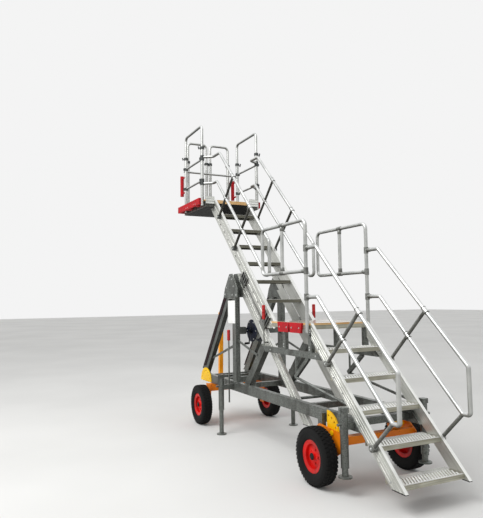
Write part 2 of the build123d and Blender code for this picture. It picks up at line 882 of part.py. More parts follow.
def upper_stringer():
    """Grooved side of the upper stair, cut square under the platform, with a stepped foot."""
    groove, recess = upper_groove
    foot_low = upper_foot_z - upper_foot_drop
    outline = [
        (line_x(UPPER, upper_foot_z), upper_foot_z),
        (platform_back_x, platform_z),
        (platform_back_x, platform_bottom),
        (line_x(UPPER, platform_bottom, upper_depth), platform_bottom),
        (line_x(UPPER, foot_low, upper_depth), foot_low),
        (line_x(UPPER, foot_low, upper_depth * 0.5), foot_low),
    ]
    body = plate(outline, upper_inner, upper_outer)
    for share in (0.3, 0.7):
        near = upper_depth * share - groove / 2
        body -= band(UPPER, foot_low, platform_z, near, near + groove, upper_outer - recess, upper_outer)
    return body


write("upper_stringers", pair(upper_stringer()))
write("upper_treads", [tread(UPPER, step, upper_inner) for step in range(upper_steps)])


def platform_frame():
    """Frame under the platform's board, with a riser over the stair and two toe boards beside it."""
    body = open_frame(platform_front_x, platform_back_x, platform_half_width, platform_z - board_thickness,
                      platform_thickness - board_thickness, 2)
    body += block(platform_back_x - riser_sheet, platform_back_x, -upper_inner, upper_inner,
                  platform_bottom - riser_drop, platform_bottom)
    below, above, thickness = toe_board
    for sign in (-1, 1):
        body += block(platform_back_x, platform_back_x + thickness, sign * (upper_outer + 1),
                      sign * platform_half_width, platform_z - below, platform_z + above)
    return body


write("platform_frame", platform_frame())
write("platform_board", block(platform_front_x, platform_back_x, -platform_half_width, platform_half_width,
                              platform_z - board_thickness, platform_z))


side_y = platform_half_width + post_tube / 2


def upper_rail():
    """Bent rail with a lower rail, braces and couplings, and the clamps of the braces."""
    y = upper_rail_y
    top_z = platform_z + platform_rail_height + 30
    mid_z = platform_z + mid_rail_rise
    low_z = upper_foot_z + loop_foot_rise
    bend_x = line_x(UPPER, top_z) + top_rail_height * going / rise
    mid_x = line_x(UPPER, mid_z) + mid_rail_height * going / rise
    rear_x = platform_back_x - rear_post_inset
    mid_foot_x = line_x(UPPER, low_z) + mid_rail_height * going / rise
    foot_x = mid_foot_x + loop_run
    top_foot_z = top_z - (foot_x - bend_x) * rise / going
    points = [
        (rear_x, side_y, top_z),
        (rear_x + 90, y, top_z),
        (bend_x, y, top_z),
        (foot_x, y, top_foot_z),
        (foot_x, y, low_z),
        (mid_foot_x, y, low_z),
        (mid_x, y, mid_z),
        (rear_x + 90, y, mid_z),
        (rear_x, side_y, mid_z),
    ]
    body = tube(points, rail_tube, 50)
    body -= post(rear_x, side_y, mid_z - 100, top_z + 100, collar_diameter + 2 * rail_seat)
    clamps = []
    for share in (0.31, 0.66):
        head_x = bend_x + (foot_x - bend_x) * share
        head, foot = brace_on(UPPER, top_rail_height, top_z - (head_x - bend_x) * rise / going, y)
        clamp = rail_clamp(foot, upper_outer, y + brace_tube / 2 + clamp_seat)
        crossing = shifted(head, SQUARE_DOWN, (top_rail_height - mid_rail_height) * rise / slope_length)
        body += tube([head, foot], brace_tube) + coupling(head, DOWN_SLOPE) + coupling(crossing, DOWN_SLOPE)
        body -= across(foot[0], foot[2], upper_outer, y + rail_tube, clamp_diameter + 2 * rail_seat)
        clamps.append(clamp)
    return body, clamps


rail, rail_clamps = upper_rail()
write("upper_handrails", pair(rail))

# Platform rails
rear_post_x = platform_back_x - rear_post_inset
front_post_x = platform_front_x + 141
front_hoop_x = platform_front_x - post_tube / 2
sleeve_bottom = platform_bottom + 20
sleeve_top = platform_z + clamp_height
bore = hoop_tube + 2 * hoop_clearance


def sleeve_post(x, y):
    """Post with a bore from its top in which a hoop's leg slides."""
    body = post(x, y, sleeve_bottom, sleeve_top, post_tube)
    return body - post(x, y, sleeve_bottom + 30, sleeve_top + 1, bore)


inner_leg, outer_leg = front_hoop_y
front_hoops = {"near": (-outer_leg, -inner_leg), "far": (inner_leg, outer_leg)}
corners = [(x, sign * side_y) for x in (front_post_x, rear_post_x) for sign in (-1, 1)]
corners += [(front_hoop_x, y) for legs in front_hoops.values() for y in legs]
write("platform_posts", [sleeve_post(x, y) for x, y in corners])

rail_gap = collar_diameter / 2 + rail_seat
side_rails = []
for height in (platform_mid_height, platform_rail_height):
    z = platform_z + height
    side_rails += pair(tube([(front_post_x + rail_gap, side_y, z), (rear_post_x - rail_gap, side_y, z)],
                            brace_tube))
cross_z_rail = platform_z + platform_rail_height - 25
cross_rail_x = front_post_x - collar_diameter / 2 - brace_tube / 2 - rail_seat
side_rails.append(across(cross_rail_x, cross_z_rail, -side_y - 20, side_y + 20, brace_tube))
write("platform_side_rails", side_rails)


def collar(x, y, z_low, z_high):
    """Clamp round a post."""
    body = post(x, y, z_low, z_high, collar_diameter)
    return body - post(x, y, z_low - 1, z_high + 1, post_tube + 2 * rail_seat)


def hoop_clamp(x, y):
    """Clamp at the top of a post, with a cap that guides the hoop's leg."""
    body = post(x, y, sleeve_top - clamp_skirt, sleeve_top + clamp_cap, collar_diameter + 4)
    body -= post(x, y, sleeve_top - clamp_skirt - 1, sleeve_top + rail_seat, post_tube + 2 * rail_seat)
    return body - post(x, y, sleeve_top, sleeve_top + clamp_cap + 1, bore)


clamp_heights = {
    front_post_x: [(platform_mid_height - 22, platform_mid_height + 22),
                   (platform_rail_height - 22, platform_rail_height + 22)],
    rear_post_x: [(mid_rail_rise - 24, platform_mid_height + 22),
                  (platform_rail_height - 22, platform_rail_height + 54)],
}
for x, spans in clamp_heights.items():
    for low, high in spans:
        rail_clamps += [collar(x, side_y, platform_z + low, platform_z + high)]
rail_clamps += [hoop_clamp(x, y) for x, y in corners if y > 0]
write("platform_clamps", [pair(clamp) for clamp in rail_clamps])


def hoop(start, end, height):
    """Bent tube standing in two sleeves."""
    top = platform_z + height
    low = sleeve_top - hoop_legs
    (x0, y0), (x1, y1) = start, end
    return tube([(x0, y0, low), (x0, y0, top), (x1, y1, top), (x1, y1, low)], hoop_tube, 60)


for side, sign in (("near", -1), ("far", 1)):
    side_line = sign * side_y
    write(f"side_hoop_{side}", hoop((front_post_x, side_line), (rear_post_x, side_line), side_hoop_height))
    near_y, far_y = front_hoops[side]
    write(f"front_hoop_{side}", hoop((front_hoop_x, near_y), (front_hoop_x, far_y), front_hoop_height))

# Rubber on the platform's outside
fender_z = (platform_bottom + 40, platform_z + 25)
front_face = front_hoop_x - post_tube / 2 - 1
outer_face = side_y + post_tube / 2 + 1
fender_end = outer_face + fender_side_thickness
fender_front = block(front_face - fender_front_thickness, front_face, -fender_end, fender_end, *fender_z)
lug_z = (platform_z - 70, platform_z - 20)
fender_side = block(front_face + 1, rear_post_x, outer_face, fender_end, *fender_z)
for start, stop in fender_lugs:
    lug_start = platform_front_x + start * platform_length
    lug_stop = platform_front_x + stop * platform_length
    fender_side += block(lug_start, lug_stop, platform_half_width, outer_face, *lug_z)
for sign in (-1, 1):
    inner, outer = fender_front_lugs
    fender_front += block(front_face, platform_front_x, sign * inner, sign * outer, *lug_z)


def roller():
    """Upright rubber roller at a front corner, held by two short rails from the post."""
    roller_x = platform_front_x - roller_reach
    low, high = roller_rails
    end_x = front_post_x - post_tube / 2 - rail_seat
    body = post(roller_x, side_y, platform_z + low - 40, platform_z + high + 40, roller_diameter)
    for height in roller_rails:
        z = platform_z + height
        body += tube([(roller_x, side_y, z), (end_x, side_y, z)], roller_rail_tube)
    return body


write("platform_fender", fender_front, pair(fender_side), pair(roller()))

# Slide blocks at the upper stair's foot, and guide heads at the top of the guide rails


def pads(z_mid, upper, inner):
    """Three rubber pads across a cheek, square to the slope."""
    start = -pad_width / 2
    return [slab(UPPER, z_mid, start + place * pad_pitch, start + place * pad_pitch + pad_width, upper + 5,
                 upper_depth - 5, inner, inner + pad_thickness) for place in (-1, 0, 1)]


half_run = slide_block_run / 2
block_z = upper_foot_z + slide_foot_rise
head_z = guide_top_z + guide_head_rise
head_top = brace_seat + clamp_diameter / 2 + running_gap
cheek_low = guide_below + cheek_cover


def slide_block():
    """Block between stringer and guide rail, fixed to the stringer, with a cheek outside the rail."""
    cheek_face = guide_outer + slide_clearance
    gap_low = guide_below - slide_clearance
    body = slab(UPPER, block_z, -half_run, half_run, upper_depth, gap_low, upper_inner, cheek_face)
    body += slab(UPPER, block_z, -half_run, half_run, block_top, upper_depth, upper_outer, cheek_face)
    return body + slab(UPPER, block_z, -half_run, half_run, block_top, cheek_low,
                       cheek_face, cheek_face + cheek_plate)


def guide_head():
    """The same block at the top of the guide rail, fixed to the rail, on which the stringer slides."""
    gap_top = upper_depth + slide_clearance
    body = slab(UPPER, head_z, -half_run, half_run, gap_top, guide_below, guide_inner, guide_outer)
    return body + slab(UPPER, head_z, -half_run, half_run, head_top, cheek_low,
                       guide_outer, guide_outer + cheek_plate)


block_pads = pads(block_z, block_top, guide_outer + slide_clearance + cheek_plate)
head_pads = pads(head_z, head_top, guide_outer + cheek_plate)
write("slide_blocks", pair(slide_block()))
write("slide_pads", [pair(pad) for pad in block_pads])
write("guide_heads", pair(guide_head()))
write("head_pads", [pair(pad) for pad in head_pads])

# Lower handrails with the landing's hoops


def lower_rail():
    """Landing hoop and bent stair rail, with two braces on clamps at the stringer."""
    y = lower_rail_y
    post_x_lower = landing_front_x - landing_post_inset
    bend_x = line_x(LOWER, lower_top_z) + lower_top_offset
    mid_x = line_x(LOWER, lower_mid_z) + lower_mid_offset
    mid_foot_x = line_x(LOWER, lower_loop_z) + lower_mid_offset
    foot_x = mid_foot_x + lower_loop_run
    foot_z = lower_top_z - (foot_x - bend_x) * rise / going
    hoop_points = [
        (post_x_lower, y, landing_bottom - 30),
        (post_x_lower, y, hoop_high),
        (hoop_back, y, hoop_high),
        (hoop_back, y, hoop_low),
        (post_x_lower, y, hoop_low),
    ]
    rail_points = [
        (post_x_lower, y, lower_top_z),
        (bend_x, y, lower_top_z),
        (foot_x, y, foot_z),
        (foot_x, y, lower_loop_z),
        (mid_foot_x, y, lower_loop_z),
        (mid_x, y, lower_mid_z),
        (post_x_lower, y, lower_mid_z),
    ]
    body = tube(hoop_points, rail_tube, 60) + tube(rail_points, rail_tube, 28)
    body += post((post_x_lower + hoop_back) / 2 - 9, y, hoop_low, hoop_high, rail_tube)
    for z in (hoop_low, lower_top_z, lower_mid_z):
        body += post(post_x_lower, y, z - coupling_length / 2, z + coupling_length / 2, coupling_diameter)
    clamps = []
    for offset, z in ((lower_top_offset, lower_brace_z), (lower_mid_offset, lower_loop_z)):
        head, foot = brace_on(LOWER, offset, z, y)
        body += tube([head, foot], brace_tube)
        crossing = shifted(head, SQUARE_DOWN, (offset - lower_mid_offset) * rise / slope_length)
        if offset > lower_mid_offset:
            body += coupling(head, DOWN_SLOPE) + coupling(crossing, DOWN_SLOPE)
        body -= across(foot[0], foot[2], lower_outer, y + rail_tube, clamp_diameter + 2 * rail_seat)
        clamps.append(rail_clamp(foot, lower_outer, y + brace_tube / 2 + clamp_seat))
    return body, clamps


rail, foot_clamps = lower_rail()
write("lower_handrails", pair(rail))
write("stair_clamps", [pair(clamp) for clamp in foot_clamps])

# Hand controls


def grip(x, y, z, size):
    """Rubber grip with round ends, on top of a rod."""
    length, diameter = size
    body = post(x, y, z, z + length, diameter)
    return fillet(body.edges().filter_by(GeomType.CIRCLE), diameter / 3)


def brake_lever():
    """Rod of the brake lever, on a pin from the guide rail."""
    body = post(lever_x, lever_y, lever_pivot_z - 30, lever_top_z, lever_rod_diameter)
    return body + across(lever_x, lever_pivot_z, guide_outer, lever_y, lever_pin)


def crank():
    """Upright rod of the crank, held by an eye on the sill."""
    body = post(crank_x, -crank_y, crank_low_z, crank_top_z, crank_rod)
    return body + block(crank_x - 15, crank_x + 15, -crank_y, -sill_outer, *crank_eye_z)


write("hand_levers", pair(brake_lever()), crank())
write("hand_grips", pair(grip(lever_x, lever_y, lever_top_z, lever_grip)),
      grip(crank_x, -crank_y, crank_top_z, crank_handle))
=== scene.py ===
from math import cos, pi, radians, sin, sqrt

import bmesh
import bpy
from mathutils import Matrix, Vector


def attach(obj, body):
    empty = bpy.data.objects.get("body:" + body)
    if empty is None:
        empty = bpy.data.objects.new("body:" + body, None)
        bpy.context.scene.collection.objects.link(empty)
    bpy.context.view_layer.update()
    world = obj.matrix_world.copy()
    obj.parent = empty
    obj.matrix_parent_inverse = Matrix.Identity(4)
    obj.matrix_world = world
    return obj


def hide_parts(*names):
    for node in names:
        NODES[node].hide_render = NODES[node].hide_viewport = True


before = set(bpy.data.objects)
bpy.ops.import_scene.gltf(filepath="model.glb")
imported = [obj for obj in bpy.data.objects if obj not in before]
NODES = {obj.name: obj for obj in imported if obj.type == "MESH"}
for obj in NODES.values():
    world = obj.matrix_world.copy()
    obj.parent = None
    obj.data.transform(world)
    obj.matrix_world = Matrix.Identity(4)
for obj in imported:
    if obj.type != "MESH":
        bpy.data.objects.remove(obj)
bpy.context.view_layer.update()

SIDES = {"near": -1, "far": 1}

# Camera of the photograph: place, heading, tilt and roll, and the focal length in pixels
PHOTO_HEIGHT_PX = 518
PHOTO_FOCAL_PX = 538.8
SENSOR = 36.0
CAMERA_PLACE = Vector((5.614, -3.262, 1.65))
CAMERA_HEADING = radians(64.20)
CAMERA_TILT = radians(94.48)
CAMERA_ROLL = radians(-0.74)

# Stairs, as in the solids: the lowest nosing of each as (x, z), a slope of 45 degrees, the stringers'
# inner and outer faces, and the groove in the outer face below the nosing line
STEP = 0.240
LOWER = (2.330, 0.225)
UPPER = (0.015, 1.665)
LOWER_STEPS = 5
UPPER_STEPS = 6
LOWER_INNER, LOWER_OUTER = 0.320, 0.352
UPPER_INNER, UPPER_OUTER = 0.240, 0.280
LOWER_GROOVE, LOWER_GROOVE_DEPTH = 0.0825, 0.004
UPPER_GROOVE, UPPER_GROOVE_DEPTH = 0.117, 0.005
DOWN_SLOPE = Vector((1, 0, -1)).normalized()

# Grip of the treads: ribs set back from the nosing, and rows of dimples between them
TREAD_MARGIN = 0.020
RIB_INSETS = (0.006, 0.017, 0.150, 0.164, 0.178, 0.192, 0.208)
RIB_WIDTH, RIB_HEIGHT, RIB_PLACE = 0.006, 0.003, 0.0008
DIMPLE_PITCH = 0.030
DIMPLE_ROW_PITCH = 0.026
DIMPLE_ROWS = 5
DIMPLE_INSET = 0.030

# Bolt heads as (width across flats, height)
M6 = (0.010, 0.006)
M8 = (0.013, 0.006)
M10 = (0.017, 0.008)
M12 = (0.019, 0.009)
GROOVE_HEAD = (0.014, 0.006)
FENDER_HEAD = (0.012, 0.004)
FLAP_HEAD = (0.010, 0.003)
WHEEL_STUD = (0.015, 0.008)

# Chassis
SILL_INNER, SILL_OUTER, SILL_TOP = 0.300, 0.360, 0.640
FRAME_POST_X = -0.630
CROSS_X = (FRAME_POST_X, 0.910, 1.700)
CROSS_Z = (0.550, 0.610)
WELD_PITCH, WELD_RADIUS = 0.007, 0.0052

# Feet of posts, legs and struts on the sills, as (start, end, outer face)
FEET = ((FRAME_POST_X - 0.05, FRAME_POST_X + 0.05, SILL_OUTER), (-1.746, -1.560, SILL_OUTER),
        (-0.431, -0.291, 0.320))

# Open ends of guide rails and lower stringers, as (middle, size of the cap, its bevel)
OPEN_ENDS = (((0.925, 0.270, 0.398), (0.150, 0.044, 0.006), 0.0015),
             ((2.300, 0.336, 0.174), (0.154, 0.036, 0.008), 0.002))

# Gusset plates at the apex: bolts as (x from the post, z)
APEX_FACE = SILL_OUTER + 0.008
APEX_BOLTS = ((-0.085, 1.965), (-0.03, 1.93), (0.02, 1.84), (0.09, 1.73),
              (-0.02, 1.73), (-0.25, 1.74), (-0.19, 1.83))

# Legs of the side frames, and the rubber profile along their fronts
LEG_FRONT_X = -1.7288
LEG_SLOPE = 1.295
LEG_MIDDLE = (SILL_INNER + SILL_OUTER) / 2
LEG_LOW_Z, FLAP_TOP_Z, BULGE_TOP_Z = 0.745, 1.690, 1.900
FLAP_WIDTH = 0.060
FLAP_INNER, FLAP_OUTER = 0.030, 0.035

# Side frames and fenders of the landing
HANGER_FACE = 0.350
HANGER_X = (0.600, 1.100)
HANGER_BOLT_Z = (1.165, 1.190, 1.320, 1.345)
BEAM_BOLT_X, BEAM_BOLT_Z = (0.30, 1.20), 1.110
LANDING_FENDER_BOLTS = (0.565, 0.710, 0.810, 0.955)
LANDING_FENDER_FACE, LANDING_FENDER_Z = -0.3805, 1.373

# Handrails: braces as (head's x, head's z, upper rail and lower rail above the nosing line, or 0 for none)
LOWER_RAIL_Y = 0.3755
UPPER_RAIL_Y = 0.301
LOWER_BRACES = ((1.909, 1.546, 0.900, 0.425), (2.290, 0.690, 0.425, 0.0))
UPPER_BRACES = ((-0.7391, 3.2941, 0.875, 0.390), (-0.2526, 2.8076, 0.875, 0.390))
CLAMP_DEPTH = 0.045
LOWER_CLAMP_FACE, UPPER_CLAMP_FACE = 0.3965, 0.322
LANDING_POST_X = 1.103
HOOP_BAR_X = 0.641
HOOP_LOW_Z, HOOP_TOP_Z = 1.942, 2.454
RAIL_TOP_Z, RAIL_MID_Z = 2.168, 1.683

# Platform: its edge over the stair, and the posts and hoops with their clamps
PLATFORM_BACK_X = -1.425
PLATFORM_FENDER_BOLTS = (-2.02, -1.95, -1.70, -1.63)
PLATFORM_FENDER_FACE, PLATFORM_FENDER_Z = 0.494, 3.062
SIDE_POST_Y = 0.439
POST_X = {"front": -2.159, "rear": -1.485}
COLLAR_Z = {"front": (3.385, 3.695), "rear": (3.345, 3.388, 3.70)}
COLLAR_RADIUS = 0.030
HOOP_X = -2.324
HOOP_Y = (0.033, 0.345)
CLAMP_Z = 3.855

# Trim of the platform and of the foot of its stair
TOE_PLANK, TOE_PLANK_Y, TOE_PLANK_Z = (0.006, 0.134, 0.033), 0.348, (3.060, 3.095, 3.130)
TOE_BOARD_THICKNESS = 0.010
EDGE_BOARD, EDGE_BOARD_Z = (0.006, 0.470, 0.050), 3.079
# Black sheets on the riser and under the platform: painted shade
RISER_SHADE_SHEET, RISER_SHADE_SHEET_Z = (0.003, 0.476, 0.146), 2.979
UNDER_SHADE_SHEET, UNDER_SHADE_SHEET_PLACE = (0.860, 0.800, 0.003), (-1.865, 0, 2.9985)
BUFFER_X, BUFFER_Z = 0.275, 1.365

# Winch: the near end of its drum's axis, and the boxes round its bar as (length, middle)
WINCH = Vector((-0.480, -0.190, 1.280))
BAR_BOXES = ((0.094, -0.2525), (0.370, 0.1145))

# Red grips as (x, y, foot, head, radius)
GRIPS = ((0.135, -0.341, 1.440, 1.604, 0.0200), (0.135, 0.341, 1.440, 1.604, 0.0200),
         (-0.745, -0.385, 1.150, 1.286, 0.0205))

# Blank plate on the near post
PLATE_X, PLATE_Z = -0.703, 1.515
PLATE_WIDTH, PLATE_HEIGHT, PLATE_THICKNESS = 0.216, 0.290, 0.002
PLATE_STRIP_Z = 1.690
RIVET_X, RIVET_Z = (-0.660, -0.610), (1.390, 1.640)

# Wheels
TYRE_RADIUS = 0.260
BEAD_RADIUS = 0.145
TRACK = 1.045
AXLES = {"front": -1.365, "rear": 1.435}
TREAD_PITCHES = 44
STUDS, STUD_CIRCLE, STUD_SEAT = 5, 0.060, 0.0215
CAP_SEAT = 0.045
VALVE_PLACE, VALVE_LEAN = (0.118, 0, 0.012), radians(-12)


def add_camera():
    data = bpy.data.cameras.new("photo_camera")
    data.sensor_width = SENSOR
    data.lens = PHOTO_FOCAL_PX / PHOTO_HEIGHT_PX * SENSOR
    camera = bpy.data.objects.new("photo_camera", data)
    turn = (Matrix.Rotation(CAMERA_HEADING, 4, "Z") @ Matrix.Rotation(CAMERA_TILT, 4, "X")
            @ Matrix.Rotation(CAMERA_ROLL, 4, "Z"))
    camera.matrix_world = Matrix.Translation(CAMERA_PLACE) @ turn
    bpy.context.scene.collection.objects.link(camera)
    bpy.context.scene.camera = camera


# Materials


def colour(value):
    """Linear RGBA from an sRGB hex value."""
    parts = [((value >> shift) & 255) / 255 for shift in (16, 8, 0)]
    linear = [c / 12.92 if c <= 0.04045 else ((c + 0.055) / 1.055) ** 2.4 for c in parts]
    return (*linear, 1.0)


def add(tree, kind, values=None, links=None, stops=(), **settings):
    """Adds a node: its settings, its sockets' values, what feeds them, and a ramp's (place, hex) stops."""
    node = tree.nodes.new(kind)
    for name, value in settings.items():
        setattr(node, name, value)
    for socket, value in (values or {}).items():
        node.inputs[socket].default_value = value
    for socket, source in (links or {}).items():
        tree.links.new(source, node.inputs[socket])
    for index, (place, value) in enumerate(stops):
        elements = node.color_ramp.elements
        element = elements[index] if index < len(elements) else elements.new(place)
        element.position = place
        element.color = colour(value)
    return node


def blank(name):
    """New material, with its tree, its shader and Object coordinates."""
    material = bpy.data.materials.new(name)
    material.use_nodes = True
    tree = material.node_tree
    place = add(tree, "ShaderNodeTexCoord").outputs["Object"]
    return material, tree, tree.nodes["Principled BSDF"], place


def cloud(tree, place, size, low=0.0, high=1.0, span=(0.35, 0.65), stretch=(1, 1, 1), turn=(0, 0, 0),
          detail=5.0):
    """Cloudy pattern from low to high, of patches about `size` metres across and `stretch` times as long."""
    mapped = add(tree, "ShaderNodeMapping", {"Scale": stretch, "Rotation": turn}, {"Vector": place},
                 vector_type="TEXTURE")
    fog = add(tree, "ShaderNodeTexNoise", {"Scale": 0.5 / size, "Detail": detail},
              {"Vector": mapped.outputs["Vector"]})
    limits = {"From Min": span[0], "From Max": span[1], "To Min": low, "To Max": high}
    return add(tree, "ShaderNodeMapRange", limits, {"Value": fog.outputs["Fac"]}).outputs["Result"]


def shade_by_facing(tree, colour_socket, under_shade, side):
    """Painted shade: leaves a colour as it is on faces that look up, and darkens it on the sides and
    underneath, as light from above would.
    """
    normal = add(tree, "ShaderNodeNewGeometry").outputs["Normal"]
    height = add(tree, "ShaderNodeSeparateXYZ", links={"Vector": normal}).outputs["Z"]
    level = add(tree, "ShaderNodeMapRange", {"From Min": -1.0, "From Max": 1.0}, {"Value": height})
    # Ramp of painted shade by facing: the under colour below, the side colour on upright faces, white on top
    grime_and_shade = add(tree, "ShaderNodeValToRGB", links={"Fac": level.outputs["Result"]},
                stops=[(0.1, under_shade), (0.8, 0xFFFFFF), (0.45, side)])
    both = add(tree, "ShaderNodeMix", {0: 1.0}, {6: colour_socket, 7: grime_and_shade.outputs["Color"]},
               data_type="RGBA", blend_type="MULTIPLY")
    return both.outputs[2]


def worn_edges(tree, width, grain):
    """1 at sharp edges and 0 on flats, broken up by a grain."""
    rounded = add(tree, "ShaderNodeBevel", {"Radius": width}, samples=4).outputs["Normal"]
    flat = add(tree, "ShaderNodeNewGeometry").outputs["Normal"]
    match = add(tree, "ShaderNodeVectorMath", links={0: rounded, 1: flat}, operation="DOT_PRODUCT")
    # Cosines of the angle between the two normals, at a sharp edge and on a flat
    limits = {"From Min": 0.86, "From Max": 0.995, "To Min": 1.0, "To Max": 0.0}
    sharp = add(tree, "ShaderNodeMapRange", limits, {"Value": match.outputs["Value"]})
    return add(tree, "ShaderNodeMath", links={0: sharp.outputs["Result"], 1: grain},
               operation="MULTIPLY").outputs["Value"]


def relief(tree, shader, height, depth, edge=0.002):
    """Rounds sharp edges and adds a relief of a real depth in metres."""
    rounded = add(tree, "ShaderNodeBevel", {"Radius": edge}, samples=4)
    raised = add(tree, "ShaderNodeBump", {"Strength": 1.0, "Distance": depth},
                 {"Height": height, "Normal": rounded.outputs["Normal"]})
    tree.links.new(raised.outputs["Normal"], shader.inputs["Normal"])


def galvanised_steel(name, light, dark):
    """Hot-dip galvanised steel, weathered: dull zinc grey, 9 mm spangle and runs of dirt, with painted shade
    darkening its sides and undersides.
    """
    material, tree, shader, place = blank(name)
    spangles_per_metre = 110.0
    spangle = add(tree, "ShaderNodeTexVoronoi", {"Scale": spangles_per_metre}, {"Vector": place})
    grey = add(tree, "ShaderNodeSeparateColor", links={"Color": spangle.outputs["Color"]}).outputs["Red"]
    zinc = add(tree, "ShaderNodeValToRGB", links={"Fac": grey}, stops=[(0.0, dark), (1.0, light)])
    runs = cloud(tree, place, 0.05, 0.0, 0.75, span=(0.45, 0.75), stretch=(1, 1, 4), detail=6.0)
    soiled = add(tree, "ShaderNodeMix", {7: colour(0x4A4741)}, {0: runs, 6: zinc.outputs["Color"]},
                 data_type="RGBA")
    # Painted shade: sides and undersides of the zinc greyed, tops left as they are
    facing_shaded = shade_by_facing(tree, soiled.outputs[2], 0x7E7C78, 0xB4B4B2)
    tree.links.new(facing_shaded, shader.inputs["Base Color"])
    tree.links.new(cloud(tree, place, 0.04, 0.36, 0.58), shader.inputs["Roughness"])
    shader.inputs["Metallic"].default_value = 0.75
    relief(tree, shader, cloud(tree, place, 0.008), 0.0002)
    return material


def extruded_aluminium(name, light, dark, turn=(0, radians(45), 0), along=(40, 1, 1), grime_and_shade=0.25,
                       side=0xC8C8C4):
    """Mill-finish extruded aluminium: pale, with die lines along its length and marks of grime, and painted
    shade darkening its sides and undersides.
    """
    material, tree, shader, place = blank(name)
    lines = cloud(tree, place, 0.006, stretch=along, turn=turn, detail=3.0)
    clean = add(tree, "ShaderNodeValToRGB", links={"Fac": lines}, stops=[(0.0, dark), (1.0, light)])
    # Marks of grime; set stronger on the darker copy for the upper treads, as part of its painted shade
    marks = cloud(tree, place, 0.12, 0.0, grime_and_shade, span=(0.48, 0.72), detail=6.0)
    soiled = add(tree, "ShaderNodeMix", {7: colour(0x7E7C70)}, {0: marks, 6: clean.outputs["Color"]},
                 data_type="RGBA")
    # Painted shade: faces that do not look up are darkened, with the side colour on upright ones
    facing_shaded = shade_by_facing(tree, soiled.outputs[2], 0x6A6964, side)
    tree.links.new(facing_shaded, shader.inputs["Base Color"])
    tree.links.new(cloud(tree, place, 0.05, 0.28, 0.46), shader.inputs["Roughness"])
    shader.inputs["Metallic"].default_value = 0.75
    relief(tree, shader, lines, 0.0001)
    return material


def drawn_tube():
    """Drawn aluminium tube: pale, with faint wear from hands, and painted shade that darkens its sides and
    underside.
    """
    material, tree, shader, place = blank("drawn_tube")
    wear = cloud(tree, place, 0.08)
    pale = add(tree, "ShaderNodeValToRGB", links={"Fac": wear}, stops=[(0.0, 0xCED0CF), (1.0, 0xE8E9E8)])
    # Painted shade: the tube darker on its sides and much darker underneath
    facing_shaded = shade_by_facing(tree, pale.outputs["Color"], 0x6A6A66, 0xCFCFCC)
    tree.links.new(facing_shaded, shader.inputs["Base Color"])
    tree.links.new(cloud(tree, place, 0.05, 0.28, 0.42), shader.inputs["Roughness"])
    shader.inputs["Metallic"].default_value = 0.85
    return material


def zinc_plated():
    """Zinc-plated fasteners: a pale dull shine with darker spots."""
    material, tree, shader, place = blank("zinc_plated")
    spots = cloud(tree, place, 0.006)
    pale = add(tree, "ShaderNodeValToRGB", links={"Fac": spots}, stops=[(0.0, 0xA4A6A3), (1.0, 0xD2D4D2)])
    tree.links.new(pale.outputs["Color"], shader.inputs["Base Color"])
    tree.links.new(cloud(tree, place, 0.004, 0.34, 0.5), shader.inputs["Roughness"])
    shader.inputs["Metallic"].default_value = 0.9
    relief(tree, shader, spots, 0.0002, 0.0006)
    return material


def enamel(name, light, dark, chip):
    """Weathered gloss enamel on steel: mottled by sun and dust, with chips and rust along the edges."""
    material, tree, shader, place = blank(name)
    sun = cloud(tree, place, 0.09, detail=6.0)
    paint = add(tree, "ShaderNodeValToRGB", links={"Fac": sun}, stops=[(0.0, dark), (1.0, light)])
    chips = worn_edges(tree, 0.005, cloud(tree, place, 0.02, span=(0.5, 0.62)))
    spots = cloud(tree, place, 0.014, 0.0, 0.8, span=(0.7, 0.75), detail=3.0)
    worn = add(tree, "ShaderNodeMath", links={0: chips, 1: spots}, operation="MAXIMUM").outputs["Value"]
    bare = add(tree, "ShaderNodeMix", {7: colour(chip)}, {0: worn, 6: paint.outputs["Color"]},
               data_type="RGBA")
    tree.links.new(bare.outputs[2], shader.inputs["Base Color"])
    tree.links.new(cloud(tree, place, 0.05, 0.34, 0.52), shader.inputs["Roughness"])
    shader.inputs["Specular IOR Level"].default_value = 0.3
    relief(tree, shader, sun, 0.0003)
    return material


def moulded_rubber(name, light, dark, size=0.03, rough=(0.6, 0.8)):
    """Moulded rubber: matt, with a weak shine, mottled with scuffs and dust."""
    material, tree, shader, place = blank(name)
    scuffs = cloud(tree, place, size, detail=7.0)
    tone = add(tree, "ShaderNodeValToRGB", links={"Fac": scuffs}, stops=[(0.0, dark), (1.0, light)])
    tree.links.new(tone.outputs["Color"], shader.inputs["Base Color"])
    tree.links.new(cloud(tree, place, size, *rough), shader.inputs["Roughness"])
    shader.inputs["Specular IOR Level"].default_value = 0.25
    relief(tree, shader, scuffs, 0.0005, 0.003)
    return material


def ribbed_grip():
    """Red soft-plastic grip: satin, with rings 8 mm apart."""
    material, tree, shader, place = blank("ribbed_grip")
    rings = add(tree, "ShaderNodeTexWave", {"Scale": 40.0, "Distortion": 0.0}, {"Vector": place},
                bands_direction="Z")
    wear = cloud(tree, place, 0.02)
    tone = add(tree, "ShaderNodeValToRGB", links={"Fac": wear}, stops=[(0.0, 0xA00A08), (1.0, 0xC8100C)])
    tree.links.new(tone.outputs["Color"], shader.inputs["Base Color"])
    tree.links.new(cloud(tree, place, 0.01, 0.4, 0.55), shader.inputs["Roughness"])
    relief(tree, shader, rings.outputs["Fac"], 0.0015)
    return material


def cast_iron():
    """Dark cast clamps: sand-cast grain of 2 mm, dull, with worn lighter edges."""
    material, tree, shader, place = blank("cast_iron")
    sand = cloud(tree, place, 0.002)
    edges = worn_edges(tree, 0.003, cloud(tree, place, 0.01))
    tone = add(tree, "ShaderNodeValToRGB", links={"Fac": edges}, stops=[(0.0, 0x474A49), (1.0, 0x8A8D8C)])
    tree.links.new(tone.outputs["Color"], shader.inputs["Base Color"])
    tree.links.new(cloud(tree, place, 0.02, 0.5, 0.7), shader.inputs["Roughness"])
    shader.inputs["Metallic"].default_value = 0.5
    relief(tree, shader, sand, 0.0004)
    return material


